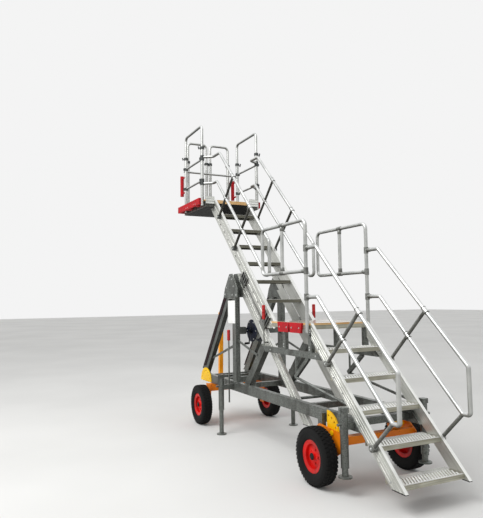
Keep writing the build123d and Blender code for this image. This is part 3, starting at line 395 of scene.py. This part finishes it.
def filmed_plywood():
    """Film-faced plywood: brown faces with a 6 mm pressed mesh and a wet shine, raw edges of 1.5 mm plies."""
    material, tree, shader, place = blank("filmed_plywood")
    dots_per_metre = 160.0
    normal = add(tree, "ShaderNodeNewGeometry").outputs["Normal"]
    upright = add(tree, "ShaderNodeSeparateXYZ", links={"Vector": normal}).outputs["Z"]
    level = add(tree, "ShaderNodeMath", links={0: upright}, operation="ABSOLUTE").outputs["Value"]
    face = add(tree, "ShaderNodeMath", {1: 0.5}, {0: level}, operation="GREATER_THAN").outputs["Value"]
    plies = cloud(tree, place, 0.0015, stretch=(50, 50, 1), detail=1.0)
    raw = add(tree, "ShaderNodeValToRGB", links={"Fac": plies}, stops=[(0.0, 0xC08A4A), (1.0, 0xF0CC92)])
    scuffs = cloud(tree, place, 0.12, detail=7.0)
    film = add(tree, "ShaderNodeValToRGB", links={"Fac": scuffs}, stops=[(0.0, 0x7A6C5E), (1.0, 0xB0A290)])
    both = add(tree, "ShaderNodeMix", links={0: face, 6: raw.outputs["Color"], 7: film.outputs["Color"]},
               data_type="RGBA")
    tree.links.new(both.outputs[2], shader.inputs["Base Color"])
    tree.links.new(cloud(tree, place, 0.1, 0.08, 0.26), shader.inputs["Roughness"])
    dots = add(tree, "ShaderNodeTexVoronoi", {"Scale": dots_per_metre, "Randomness": 0.0}, {"Vector": place})
    relief(tree, shader, dots.outputs["Distance"], 0.0001)
    return material


# Die lines that run along a tread, from side to side
ACROSS = {"turn": (0, 0, 0), "along": (1, 40, 1)}

FINISHES = {
    "galvanised": galvanised_steel("galvanised_steel", 0xA8ACA8, 0x7C807C),
    "fitting": galvanised_steel("galvanised_fittings", 0xC4C6C2, 0x989A96),
    # Darker copy of the galvanised steel: painted shade on the platform's frame and the upper braces, also
    # used for the coupling rings
    "dark_steel": galvanised_steel("shaded_steel", 0x8A8A86, 0x66665F),
    "profile": extruded_aluminium("stringer_profile", 0xFFFFFD, 0xE4E6E1),
    # Treads: the side colour is painted shade on their fronts, faint on the lower treads and dark on the
    # upper ones
    "deck": extruded_aluminium("tread_profile", 0xCCCABE, 0xA4A194, grime_and_shade=0.5, side=0xE8E8E2, **ACROSS),
    # Upper treads: a darker copy of the tread profile, as painted shade
    "shaded_deck": extruded_aluminium("upper_tread_profile", 0xC6C4B8, 0x9C998C, grime_and_shade=0.6, side=0x84847C,
                                      **ACROSS),
    # Ribs and planks that feet keep bare
    "worn": extruded_aluminium("worn_ribs", 0xFFFFFF, 0xE8EAE6, (0, 0, 0), (1, 20, 1), 0.15, 0xECEDE8),
    "tube": drawn_tube(),
    "zinc": zinc_plated(),
    "orange": enamel("orange_enamel", 0xF2860C, 0xD86C06, 0x5E3420),
    "amber": enamel("amber_enamel", 0xFFB01C, 0xF69A0A, 0x6E4420),
    "yellow": enamel("yellow_enamel", 0xFCCC02, 0xF0B602, 0x6E5A2A),
    "winch": enamel("blue_enamel", 0x0C142C, 0x060A16, 0x222429),
    "rim": enamel("red_enamel", 0xDC1008, 0xA00A06, 0x3A1412),
    "plate": enamel("white_enamel", 0xF6F6F4, 0xE6E6E2, 0x9A9A94),
    # Turned nylon: off-white and smooth, greyed along its edges, so made as the enamels are
    "nylon": enamel("white_nylon", 0xF4F4F0, 0xE0E0DA, 0xA8A8A0),
    "fender": moulded_rubber("red_rubber", 0xB81A22, 0x9C131C),
    "strip": moulded_rubber("maroon_rubber", 0x280A10, 0x0E0508),
    "black": moulded_rubber("black_rubber", 0x1C1C1B, 0x0A0A0A),
    "tyre": moulded_rubber("tyre_rubber", 0x141414, 0x070707, 0.05, (0.75, 0.95)),
    "grip": ribbed_grip(),
    "clamp": cast_iron(),
    "plywood": filmed_plywood(),
}

FINISH_OF = {
    "galvanised": ["sills", "cross_members", "frame_posts", "frame_legs", "apex_plates", "guide_struts",
                   "landing_supports", "jack_sleeves",
                   "front_jack_leg_near", "front_jack_leg_far", "rear_jack_leg_near", "rear_jack_leg_far"],
    "fitting": ["hand_levers", "slide_blocks", "guide_heads", "stair_clamps"],
    # Platform frame in the darker copy of the galvanised steel: painted shade
    "dark_steel": ["platform_frame"],
    "profile": ["guide_rails", "lower_stringers", "upper_stringers"],
    "deck": ["landing_deck", "lower_treads"],
    # Upper treads in the darker copy of the tread profile: painted shade
    "shaded_deck": ["upper_treads"],
    "tube": ["lower_handrails", "upper_handrails", "platform_posts", "platform_side_rails",
             "side_hoop_near", "side_hoop_far", "front_hoop_near", "front_hoop_far"],
    "orange": ["rear_axle", "front_axle"],
    "amber": ["drawbar_carrier", "drawbar"],
    "yellow": ["quadrant_plates"],
    "winch": ["winch"],
    "rim": ["front_rim_near", "front_rim_far", "rear_rim_near", "rear_rim_far"],
    "fender": ["landing_fenders", "platform_fender"],
    "strip": ["leg_strips"],
    "black": ["slide_pads", "head_pads"],
    "tyre": ["front_tyre_near", "front_tyre_far", "rear_tyre_near", "rear_tyre_far"],
    "grip": ["hand_grips"],
    "clamp": ["platform_clamps"],
    "plywood": ["landing_board", "platform_board"],
}


def finish_solids():
    """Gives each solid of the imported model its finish."""
    for finish, names in FINISH_OF.items():
        for name in names:
            slots = NODES[name].data.materials
            slots.clear()
            slots.append(FINISHES[finish])


# Shapes and how they are placed


def closed(mesh):
    """Ends a shape: merges its seams and poles and turns its faces outwards."""
    bmesh.ops.remove_doubles(mesh, verts=mesh.verts[:], dist=1e-5)
    bmesh.ops.dissolve_degenerate(mesh, dist=1e-5, edges=mesh.edges[:])
    bmesh.ops.recalc_face_normals(mesh, faces=mesh.faces[:])
    shape = bpy.data.meshes.new("shape")
    mesh.to_mesh(shape)
    mesh.free()
    return shape


def lathe(profile, steps=24):
    """Shape spun about Z from (radius, height) points."""
    mesh = bmesh.new()
    points = [mesh.verts.new((radius, 0, height)) for radius, height in profile]
    edges = [mesh.edges.new(ends) for ends in zip(points, points[1:])]
    bmesh.ops.spin(mesh, geom=points + edges, cent=(0, 0, 0), axis=(0, 0, 1), angle=2 * pi, steps=steps,
                   use_merge=True)
    return closed(mesh)


def barrel(radius, rim, half, chamfer):
    """Short round sleeve about the origin, with chamfered rims."""
    return lathe([(0.0, -half), (rim, -half), (radius, chamfer - half),
                  (radius, half - chamfer), (rim, half), (0.0, half)])


def cuboid(size, edge):
    """Block of a size about the origin, with its edges bevelled."""
    mesh = bmesh.new()
    bmesh.ops.create_cube(mesh, size=1.0, matrix=Matrix.Diagonal((*size, 1.0)))
    bmesh.ops.bevel(mesh, geom=mesh.edges[:], offset=edge, segments=1, profile=0.5, affect="EDGES",
                    material=-1)
    return closed(mesh)


def hex_bolt(width, head):
    """Hexagon head with a chamfer, on a washer."""
    # Radii of the hexagon's corners and of the washer, and the washer's thickness
    corner, washer, seat = width * 0.577, width * 0.75, 0.0015
    mesh = bmesh.new()
    bmesh.ops.create_cone(mesh, cap_ends=True, segments=6, radius1=corner, radius2=corner, depth=head,
                          matrix=Matrix.Translation((0, 0, seat + head / 2)))
    top = [edge for edge in mesh.edges if all(vert.co.z > seat + head * 0.9 for vert in edge.verts)]
    bmesh.ops.bevel(mesh, geom=top, offset=head * 0.2, segments=1, profile=0.5, affect="EDGES", material=-1)
    bmesh.ops.create_cone(mesh, cap_ends=True, segments=12, radius1=washer, radius2=washer, depth=seat,
                          matrix=Matrix.Translation((0, 0, seat / 2)))
    return closed(mesh)


def standing(point, axis):
    """Matrix that sets a shape down at a point with its Z along an axis."""
    return Matrix.Translation(point) @ Vector(axis).to_track_quat("Z", "Y").to_matrix().to_4x4()


def stamp(mesh, shape, place):
    """Copies a shape into a mesh, moved by a matrix."""
    moved = shape.copy()
    moved.transform(place)
    mesh.from_mesh(moved)
    bpy.data.meshes.remove(moved)


def block(mesh, size, middle, edge):
    """Adds a bevelled block about its middle."""
    stamp(mesh, cuboid(size, edge), Matrix.Translation(middle))


def rod(mesh, start, end, radius, segments=12):
    """Round bar between two points."""
    start, end = Vector(start), Vector(end)
    bmesh.ops.create_cone(mesh, cap_ends=True, segments=segments, radius1=radius, radius2=radius,
                          depth=(end - start).length, matrix=standing((start + end) / 2, end - start))


def piece(mesh, name, body, finish, replaces=None):
    """Makes a finished mesh an object that rides on a body."""
    data = bpy.data.meshes.new(name)
    mesh.to_mesh(data)
    mesh.free()
    data.materials.append(FINISHES[finish])
    data.shade_smooth()
    data.set_sharp_from_angle(angle=radians(35))
    made = bpy.data.objects.new(name, data)
    bpy.context.scene.collection.objects.link(made)
    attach(made, body)
    if replaces:
        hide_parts(replaces)


def on_slope(stair, z, depth, y):
    """Point `depth` below a stair's nosing line, square to it, from where the line is z high."""
    nose_x, nose_z = stair
    return Vector((nose_x - (z - nose_z) - depth / sqrt(2), y, z - depth / sqrt(2)))


# Treads


def tread_grip(name, stair, steps, half_width, body):
    """Ribs along the edges of each tread, and rows of raised dimples between them, each with a black disc of
    painted shade for its hole.
    """
    raised = bmesh.new()
    hole_shades = bmesh.new()
    length = 2 * half_width - TREAD_MARGIN
    rib = cuboid((RIB_WIDTH, length, RIB_HEIGHT), 0.0012)
    dimple = lathe([(0.0095, 0.0), (0.0070, 0.0030), (0.0050, 0.0030), (0.0040, 0.0)], 10)
    shade_disc = lathe([(0.0, 0.0010), (0.0046, 0.0010), (0.0046, 0.0)], 8)
    columns = int(length / DIMPLE_PITCH)
    for step in range(steps):
        nose_x = stair[0] - step * STEP
        top = stair[1] + step * STEP
        for inset in RIB_INSETS:
            stamp(raised, rib, Matrix.Translation((nose_x - inset, 0, top + RIB_PLACE)))
        for row in range(DIMPLE_ROWS):
            x = nose_x - DIMPLE_INSET - row * DIMPLE_ROW_PITCH
            shift = DIMPLE_PITCH / 4 if row % 2 else -DIMPLE_PITCH / 4
            for column in range(columns):
                y = (column - (columns - 1) / 2) * DIMPLE_PITCH + shift
                spot = Matrix.Translation((x, y, top))
                stamp(raised, dimple, spot)
                stamp(hole_shades, shade_disc, spot)
    piece(raised, name, body, "worn")
    # Black discs in the dimples: painted shade for their holes
    piece(hole_shades, name + "_hole_shades", body, "black")


# Bolts


def bolts(name, places, body, size, finish="zinc"):
    """Bolts at a list of (point, axis) places."""
    mesh = bmesh.new()
    shape = hex_bolt(*size)
    for point, axis in places:
        stamp(mesh, shape, standing(point, axis))
    piece(mesh, name, body, finish)


def both_sides(points):
    """Places on the near and the far side for (x, y, z) points, facing outwards."""
    return [(Vector((x, side * y, z)), (0, side, 0)) for x, y, z in points for side in SIDES.values()]


def groove_row(stair, steps, depth, face):
    """Places along the grooves of a stair's stringers, half a step apart."""
    heights = [stair[1] + (0.5 + index) * STEP / 2 for index in range(2 * steps - 1)]
    return both_sides([on_slope(stair, z, depth, face) for z in heights])


def brace_foot(head_x, head_z, offset):
    """Middle of the clamp at the foot of a brace, whose head is `offset` above the nosing line."""
    drop = (offset / sqrt(2) + CLAMP_DEPTH) / sqrt(2)
    return head_x - drop, head_z - drop


def brace_feet(braces, face):
    """Places on the clamps at the feet of braces."""
    feet = [brace_foot(*brace[:3]) for brace in braces]
    return both_sides([(x, face, z) for x, z in feet])


def add_bolts():
    upper = groove_row(UPPER, UPPER_STEPS, UPPER_GROOVE, UPPER_OUTER - UPPER_GROOVE_DEPTH)
    bolts("upper_stair_bolts", upper, "upper_flight", GROOVE_HEAD, "black")
    lower = groove_row(LOWER, LOWER_STEPS, LOWER_GROOVE, LOWER_OUTER - LOWER_GROOVE_DEPTH)
    bolts("lower_stair_bolts", lower, "chassis", M6)
    apex = [(FRAME_POST_X + shift, APEX_FACE, z) for shift, z in APEX_BOLTS]
    bolts("apex_bolts", both_sides(apex), "chassis", M12)
    hangers = [(x, HANGER_FACE, z) for x in HANGER_X for z in HANGER_BOLT_Z]
    hangers += [(x, HANGER_FACE, BEAM_BOLT_Z) for x in BEAM_BOLT_X]
    bolts("landing_bolts", both_sides(hangers), "chassis", M8)
    near = [(Vector((x, LANDING_FENDER_FACE, LANDING_FENDER_Z)), (0, -1, 0)) for x in LANDING_FENDER_BOLTS]
    bolts("landing_fender_bolts", near, "chassis", FENDER_HEAD)
    ends = [(x, PLATFORM_FENDER_FACE, PLATFORM_FENDER_Z) for x in PLATFORM_FENDER_BOLTS]
    bolts("platform_fender_bolts", both_sides(ends), "upper_flight", FENDER_HEAD)
    bolts("stair_clamp_bolts", brace_feet(LOWER_BRACES, LOWER_CLAMP_FACE), "chassis", M10)
    bolts("rail_clamp_bolts", brace_feet(UPPER_BRACES, UPPER_CLAMP_FACE), "upper_flight", M10)


# Wheels


def tyre_shape():
    """Carcass with bulged walls, a wall rib and two tread grooves, spun about Z."""
    wall = [(BEAD_RADIUS, 0.0504), (0.150, 0.0575), (0.158, 0.0615), (0.175, 0.0680)]
    rib = [(0.200, 0.0697), (0.204, 0.0702), (0.208, 0.0696)]
    shoulder = [(0.226, 0.0662), (0.240, 0.0598), (0.2475, 0.0500)]
    crown = [(0.2525, 0.0330), (0.2530, 0.0260), (0.2530, 0.0180), (0.2540, 0.0)]
    half = wall + rib + shoulder + crown
    mirrored = [(radius, -offset) for radius, offset in reversed(half[:-1])]
    return lathe(half + mirrored + half[:1], 72)


def tread_blocks(mesh, place):
    """Three rows of blocks round a tyre, the middle one set half a pitch on."""
    shoulder = cuboid((0.027, 0.0075, 0.029), 0.0012)
    middle = cuboid((0.024, 0.0072, 0.026), 0.0012)
    # Rows as (offset, shape, radius, share of a pitch, lean and skew in degrees)
    rows = ((-0.043, shoulder, 0.2530, 0.0, -7, 12),
            (0.0, middle, 0.2560, 0.5, 0, -18),
            (0.043, shoulder, 0.2530, 0.0, 7, 12))
    for index in range(TREAD_PITCHES):
        for offset, shape, radius, share, lean, skew in rows:
            angle = 2 * pi * (index + share) / TREAD_PITCHES
            spot = Matrix.Rotation(angle, 4, "Z") @ Matrix.Translation((0, radius, offset))
            tilted = spot @ Matrix.Rotation(radians(lean), 4, "X") @ Matrix.Rotation(radians(skew), 4, "Y")
            stamp(mesh, shape, place @ tilted)


def add_wheels():
    """Tyre with its tread, wheel studs, hub cap and valve of each wheel."""
    carcass = tyre_shape()
    stud = hex_bolt(*WHEEL_STUD)
    cap = lathe([(0.0, 0.012), (0.014, 0.0112), (0.026, 0.008), (0.031, 0.002), (0.031, 0.0)], 32)
    valve = lathe([(0.0, 0.034), (0.0035, 0.034), (0.0045, 0.030), (0.0045, 0.010), (0.007, 0.004),
                   (0.007, 0.0)], 12)
    for end, axle_x in AXLES.items():
        for side, sign in SIDES.items():
            body = f"{end}_wheel_{side}"
            place = standing((axle_x, sign * TRACK / 2, TYRE_RADIUS), (0, sign, 0))
            mesh = bmesh.new()
            stamp(mesh, carcass, place)
            tread_blocks(mesh, place)
            piece(mesh, f"{body}_tread", body, "tyre", f"{end}_tyre_{side}")
            mesh = bmesh.new()
            for index in range(STUDS):
                angle = 2 * pi * index / STUDS
                spot = Matrix.Translation((STUD_CIRCLE * cos(angle), STUD_CIRCLE * sin(angle), STUD_SEAT))
                stamp(mesh, stud, place @ spot)
            piece(mesh, f"{body}_studs", body, "rim")
            mesh = bmesh.new()
            stamp(mesh, cap, place @ Matrix.Translation((0, 0, CAP_SEAT)))
            stamp(mesh, valve, place @ Matrix.Translation(VALVE_PLACE) @ Matrix.Rotation(VALVE_LEAN, 4, "Y"))
            piece(mesh, f"{body}_cap_and_valve", body, "black")


# Rails


def add_clamp_handles():
    """T handle on each hoop clamp, and a bolted ear on each collar of the side posts."""
    screw, screw_radius = 0.026, 0.005
    knob_seat, knob_half = 0.024, 0.026
    mesh = bmesh.new()
    knob = lathe([(0.0, 2 * knob_half), (0.006, 0.0515), (0.009, 0.048),
                  (0.009, 0.004), (0.006, 0.0005), (0.0, 0.0)], 12)
    spots = [(Vector((x, side * SIDE_POST_Y, CLAMP_Z)), Vector((0, side, 0))) for x in POST_X.values()
             for side in SIDES.values()]
    spots += [(Vector((HOOP_X, side * y, CLAMP_Z)), Vector((-1, 0, 0))) for y in HOOP_Y
              for side in SIDES.values()]
    for middle, out in spots:
        foot = middle + out * COLLAR_RADIUS
        rod(mesh, foot, foot + out * screw, screw_radius)
        # The T's bar leans 30 degrees from upright
        lean = Vector((out.y * 0.5, out.x * 0.5, 0.86))
        stamp(mesh, knob, standing(foot + out * knob_seat - lean * knob_half, lean))
    ear = cuboid((0.016, 0.020, 0.034), 0.002)
    ear_y = SIDE_POST_Y + 0.034
    for end, heights in COLLAR_Z.items():
        for z in heights:
            for side in SIDES.values():
                stamp(mesh, ear, Matrix.Translation((POST_X[end], side * ear_y, z)))
    piece(mesh, "clamp_handles", "upper_flight", "clamp")


def add_rail_fittings():
    """Grey sleeves at the landing's posts and hoops, each with a socket for the rail that meets it."""
    sleeve = barrel(0.0240, 0.0215, 0.034, 0.002)
    socket = barrel(0.0222, 0.0210, 0.020, 0.002)
    reach = 0.042
    mesh = bmesh.new()
    for side in SIDES.values():
        for z, out in ((HOOP_LOW_Z, -reach), (RAIL_TOP_Z, reach), (RAIL_MID_Z, reach)):
            post = Vector((LANDING_POST_X, side * LOWER_RAIL_Y, z))
            stamp(mesh, sleeve, Matrix.Translation(post))
            stamp(mesh, socket, standing(post + Vector((out, 0, 0)), (1, 0, 0)))
        for z, out in ((HOOP_LOW_Z, reach), (HOOP_TOP_Z, -reach)):
            cross = Vector((HOOP_BAR_X, side * LOWER_RAIL_Y, z))
            stamp(mesh, sleeve, standing(cross, (1, 0, 0)))
            stamp(mesh, socket, Matrix.Translation(cross + Vector((0, 0, out))))
    piece(mesh, "landing_rail_fittings", "chassis", "fitting")


def add_brace_skins(name, braces, y, body, finish):
    """Grey skin on the steel braces of a handrail, with a dark ring at each end of their couplings."""
    skin_radius, half_coupling = 0.0165, 0.030
    ring = barrel(0.0242, 0.0236, 0.004, 0.004)
    skins = bmesh.new()
    rings = bmesh.new()
    for head_x, head_z, top_offset, mid_offset in braces:
        foot_x, foot_z = brace_foot(head_x, head_z, top_offset)
        drop = (top_offset - mid_offset) / 2
        for side in SIDES.values():
            head = Vector((head_x, side * y, head_z))
            rod(skins, head, (foot_x, side * y, foot_z), skin_radius, 16)
            if mid_offset:
                for middle in (head, head - Vector((drop, 0, drop))):
                    for shift in (-half_coupling, half_coupling):
                        stamp(rings, ring, standing(middle + DOWN_SLOPE * shift, DOWN_SLOPE))
    piece(skins, name + "_skins", body, finish)
    piece(rings, name + "_rings", body, "dark_steel")


# Platform


def add_platform_trim():
    """Planks on the toe boards, a raw wooden edge over the riser, and black sheets of painted shade on the
    riser and underneath.
    """
    mesh = bmesh.new()
    for side in SIDES.values():
        for z in TOE_PLANK_Z:
            block(mesh, TOE_PLANK, (PLATFORM_BACK_X + TOE_BOARD_THICKNESS, side * TOE_PLANK_Y, z), 0.002)
    piece(mesh, "toe_planks", "upper_flight", "worn")
    mesh = bmesh.new()
    block(mesh, EDGE_BOARD, (PLATFORM_BACK_X + EDGE_BOARD[0] / 2, 0, EDGE_BOARD_Z), 0.0015)
    piece(mesh, "platform_edge_board", "upper_flight", "plywood")
    # Black sheets of painted shade over the riser and under the frame
    mesh = bmesh.new()
    block(mesh, RISER_SHADE_SHEET, (PLATFORM_BACK_X + RISER_SHADE_SHEET[0] / 2, 0, RISER_SHADE_SHEET_Z), 0.001)
    block(mesh, UNDER_SHADE_SHEET, UNDER_SHADE_SHEET_PLACE, 0.001)
    piece(mesh, "platform_shade_sheets", "upper_flight", "black")


def add_foot_buffers():
    """White disc on the outer face of each upper stringer's foot."""
    mesh = bmesh.new()
    disc = lathe([(0.0, 0.013), (0.022, 0.013), (0.028, 0.009), (0.028, 0.0), (0.0, 0.0)], 32)
    for side in SIDES.values():
        stamp(mesh, disc, standing((BUFFER_X, side * UPPER_OUTER, BUFFER_Z), (0, side, 0)))
    piece(mesh, "stair_foot_buffers", "upper_flight", "nylon")


# Chassis


def add_grips():
    """Ringed red grips over the rods of the two brake levers and the crank."""
    pitch, groove, end = 0.010, 0.0015, 0.006
    mesh = bmesh.new()
    for x, y, low, high, radius in GRIPS:
        length = high - low
        profile = [(0.0, 0.0), (radius - 0.004, 0.0), (radius, 0.004)]
        for ring in range(int((length - 2 * end) / pitch)):
            z = end + ring * pitch
            profile += [(radius, z), (radius, z + 0.006),
                        (radius - groove, z + 0.007), (radius - groove, z + 0.009)]
        profile += [(radius, length - end), (radius * 0.7, length - 0.001), (0.0, length)]
        stamp(mesh, lathe(profile, 20), Matrix.Translation((x, y, low)))
    piece(mesh, "lever_grips", "chassis", "grip", "hand_grips")


def add_plates():
    """White blank plate on the near post, with a grey strip along its top and four rivets."""
    face, strip_thickness, strip_height = -SILL_OUTER, 0.003, 0.020
    mesh = bmesh.new()
    block(mesh, (PLATE_WIDTH, PLATE_THICKNESS, PLATE_HEIGHT), (PLATE_X, face - PLATE_THICKNESS / 2, PLATE_Z),
          0.0006)
    piece(mesh, "blank_plate", "chassis", "plate")
    mesh = bmesh.new()
    block(mesh, (PLATE_WIDTH, strip_thickness, strip_height),
          (PLATE_X, face - strip_thickness / 2, PLATE_STRIP_Z), 0.0006)
    rivet = lathe([(0.0, 0.0018), (0.002, 0.0015), (0.0032, 0.0)], 10)
    for x in RIVET_X:
        for z in RIVET_Z:
            stamp(mesh, rivet, standing((x, face - PLATE_THICKNESS, z), (0, -1, 0)))
    piece(mesh, "plate_rivets", "chassis", "fitting")


def along_legs(mesh, outline, high_z):
    """Extrudes an outline up both legs' fronts, from (x from the front, y from the leg's middle) points."""
    low_x = LEG_FRONT_X + (LEG_LOW_Z - SILL_TOP) / LEG_SLOPE
    rise = high_z - LEG_LOW_Z
    for side in SIDES.values():
        face = mesh.faces.new([mesh.verts.new((low_x + x, side * (LEG_MIDDLE + y), LEG_LOW_Z))
                               for x, y in outline])
        grown = bmesh.ops.extrude_face_region(mesh, geom=[face], use_keep_orig=True)
        moved = [item for item in grown["geom"] if isinstance(item, bmesh.types.BMVert)]
        bmesh.ops.translate(mesh, verts=moved, vec=(rise / LEG_SLOPE, 0, rise))


def add_leg_flaps():
    """Bulged rubber profile along the front of each leg, and its flap bolted to the leg's outer face."""
    mesh = bmesh.new()
    half_bulge = [(0.0, 0.033), (-0.034, 0.033), (-0.050, 0.024), (-0.058, 0.008)]
    bulge = half_bulge + [(x, -y) for x, y in reversed(half_bulge)]
    flap = [(0.0, FLAP_INNER), (FLAP_WIDTH, FLAP_INNER), (FLAP_WIDTH, FLAP_OUTER), (0.0, FLAP_OUTER)]
    along_legs(mesh, bulge, BULGE_TOP_Z)
    along_legs(mesh, flap, FLAP_TOP_Z)
    bmesh.ops.recalc_face_normals(mesh, faces=mesh.faces[:])
    piece(mesh, "leg_flaps", "chassis", "strip")
    rise = FLAP_TOP_Z - LEG_LOW_Z
    foot_x = LEG_FRONT_X + (LEG_LOW_Z - SILL_TOP) / LEG_SLOPE + FLAP_WIDTH / 2
    spots = [(foot_x + share * rise / LEG_SLOPE, LEG_MIDDLE + FLAP_OUTER, LEG_LOW_Z + share * rise)
             for share in (0.06, 0.28, 0.5, 0.72, 0.94)]
    bolts("leg_flap_bolts", both_sides(spots), "chassis", FLAP_HEAD, "black")


def weld(mesh, start, end, bead):
    """Row of small overlapping beads along a joint."""
    start, end = Vector(start), Vector(end)
    count = max(2, int((end - start).length / WELD_PITCH))
    for index in range(count + 1):
        stamp(mesh, bead, Matrix.Translation(start.lerp(end, index / count)))


def add_welds():
    """Welds round the feet of posts, legs and struts on the sills, and at the cross members' ends."""
    mesh = bmesh.new()
    drop = bmesh.new()
    bmesh.ops.create_icosphere(drop, subdivisions=1, radius=WELD_RADIUS)
    bead = closed(drop)
    half_cross = 0.03
    for side in SIDES.values():
        for start, end, outer in FEET:
            for y in (side * outer, side * SILL_INNER):
                weld(mesh, (start, y, SILL_TOP), (end, y, SILL_TOP), bead)
        for x in CROSS_X:
            for z in CROSS_Z:
                y = side * SILL_INNER
                weld(mesh, (x - half_cross, y, z), (x + half_cross, y, z), bead)
    piece(mesh, "chassis_welds", "chassis", "galvanised")


def add_caps():
    """Black caps on the open ends of guide rails and stringers."""
    mesh = bmesh.new()
    for side in SIDES.values():
        for (x, y, z), size, edge in OPEN_ENDS:
            block(mesh, size, (x, side * y, z), edge)
    piece(mesh, "end_caps", "chassis", "black")


# Winch


def add_bar_boxes():
    """Boxes round the winch's bar, on both sides of its bracket."""
    mesh = bmesh.new()
    for length, y in BAR_BOXES:
        block(mesh, (0.084, length, 0.090), (FRAME_POST_X, y, WINCH.z), 0.004)
    piece(mesh, "winch_bar_boxes", "chassis", "galvanised")


def add_rope():
    """Steel rope wound on the drum, side by side."""
    rope_radius, first, turns = 0.003, 0.010, 15
    core, flank, crest = 0.0955, 0.0995, 0.1010
    profile = []
    for turn in range(turns):
        start = first + turn * 2 * rope_radius
        profile += [(core, start), (flank, start + 0.5 * rope_radius),
                    (crest, start + rope_radius), (flank, start + 1.5 * rope_radius)]
    profile.append((core, first + turns * 2 * rope_radius))
    mesh = bmesh.new()
    stamp(mesh, lathe(profile, 40), standing(WINCH, (0, 1, 0)))
    piece(mesh, "winch_rope", "chassis", "zinc")


def add_crank():
    """Crank on the near end of the winch's axis: hub, hanging arm and outward handle."""
    hub_radius, hub_length = 0.012, 0.022
    arm = (0.022, 0.008, 0.180)
    mesh = bmesh.new()
    hub = WINCH + Vector((0, -0.015, 0))
    rod(mesh, hub, hub + Vector((0, -hub_length, 0)), hub_radius, 16)
    block(mesh, arm, hub + Vector((0, -0.018, -0.075)), 0.003)
    handle = lathe([(0.0, 0.062), (0.011, 0.060), (0.014, 0.052),
                    (0.014, 0.012), (0.009, 0.0), (0.0, 0.0)], 20)
    stamp(mesh, handle, standing(hub + Vector((0, -0.020, -0.155)), (0, -1, 0)))
    piece(mesh, "winch_crank", "chassis", "black")


def add_winch():
    flange_circle, flange_bolts = 0.118, 6
    add_bar_boxes()
    add_rope()
    angles = [index * 2 * pi / flange_bolts for index in range(flange_bolts)]
    ring = [(WINCH + flange_circle * Vector((cos(angle), 0, sin(angle))), (0, -1, 0)) for angle in angles]
    bolts("winch_bolts", ring, "chassis", M8)
    add_crank()


# Stage and light


def add_floor():
    """Pale floor that fades into a white background."""
    mesh = bmesh.new()
    bmesh.ops.create_grid(mesh, x_segments=1, y_segments=1, size=60.0)
    data = bpy.data.meshes.new("floor")
    mesh.to_mesh(data)
    mesh.free()
    floor = bpy.data.objects.new("floor", data)
    bpy.context.scene.collection.objects.link(floor)
    material, tree, shader, place = blank("pale_floor")
    tone = add(tree, "ShaderNodeValToRGB", links={"Fac": cloud(tree, place, 1.5, detail=3.0)},
               stops=[(0.0, 0xD6D6D4), (1.0, 0xDEDEDC)])
    tree.links.new(tone.outputs["Color"], shader.inputs["Base Color"])
    shader.inputs["Roughness"].default_value = 0.8
    data.materials.append(material)


def add_light():
    """Even white sky, with one soft lamp high on the near side."""
    world = bpy.data.worlds.new("studio")
    bpy.context.scene.world = world
    world.use_nodes = True
    tree = world.node_tree
    tree.nodes.clear()
    path = add(tree, "ShaderNodeLightPath")
    rays = {0: path.outputs["Is Camera Ray"], 1: path.outputs["Is Glossy Ray"]}
    seen = add(tree, "ShaderNodeMath", links=rays, operation="MAXIMUM")
    lit = add(tree, "ShaderNodeBackground", {"Color": colour(0xFFFFFF), "Strength": 0.75})
    shown = add(tree, "ShaderNodeBackground", {"Color": colour(0xF4F4F4), "Strength": 1.0})
    both = add(tree, "ShaderNodeMixShader", links={0: seen.outputs["Value"], 1: lit.outputs["Background"],
                                                   2: shown.outputs["Background"]})
    add(tree, "ShaderNodeOutputWorld", links={"Surface": both.outputs["Shader"]})
    lamp = bpy.data.lights.new("soft_lamp", "AREA")
    lamp.shape = "DISK"
    lamp.size = 6.0
    lamp.energy = 560.0
    holder = bpy.data.objects.new("soft_lamp", lamp)
    holder.location = (1.0, -6.0, 8.0)
    aim = Vector((0, 0, 1.5)) - holder.location
    holder.rotation_euler = aim.to_track_quat("-Z", "Y").to_euler()
    bpy.context.scene.collection.objects.link(holder)


add_camera()
finish_solids()
tread_grip("lower_tread_grip", LOWER, LOWER_STEPS, LOWER_INNER, "chassis")
tread_grip("upper_tread_grip", UPPER, UPPER_STEPS, UPPER_INNER, "upper_flight")
add_bolts()
add_wheels()
add_clamp_handles()
add_rail_fittings()
# Lower braces in the paler fitting zinc, upper braces in the darker copy: lit and shaded copies of the same
# steel, painted light and shade
add_brace_skins("lower_brace", LOWER_BRACES, LOWER_RAIL_Y, "chassis", "fitting")
add_brace_skins("upper_brace", UPPER_BRACES, UPPER_RAIL_Y, "upper_flight", "dark_steel")
add_platform_trim()
add_foot_buffers()
add_grips()
add_plates()
add_leg_flaps()
add_winch()
add_welds()
add_caps()
add_floor()
add_light()
bpy.context.scene.view_settings.view_transform = "Standard"
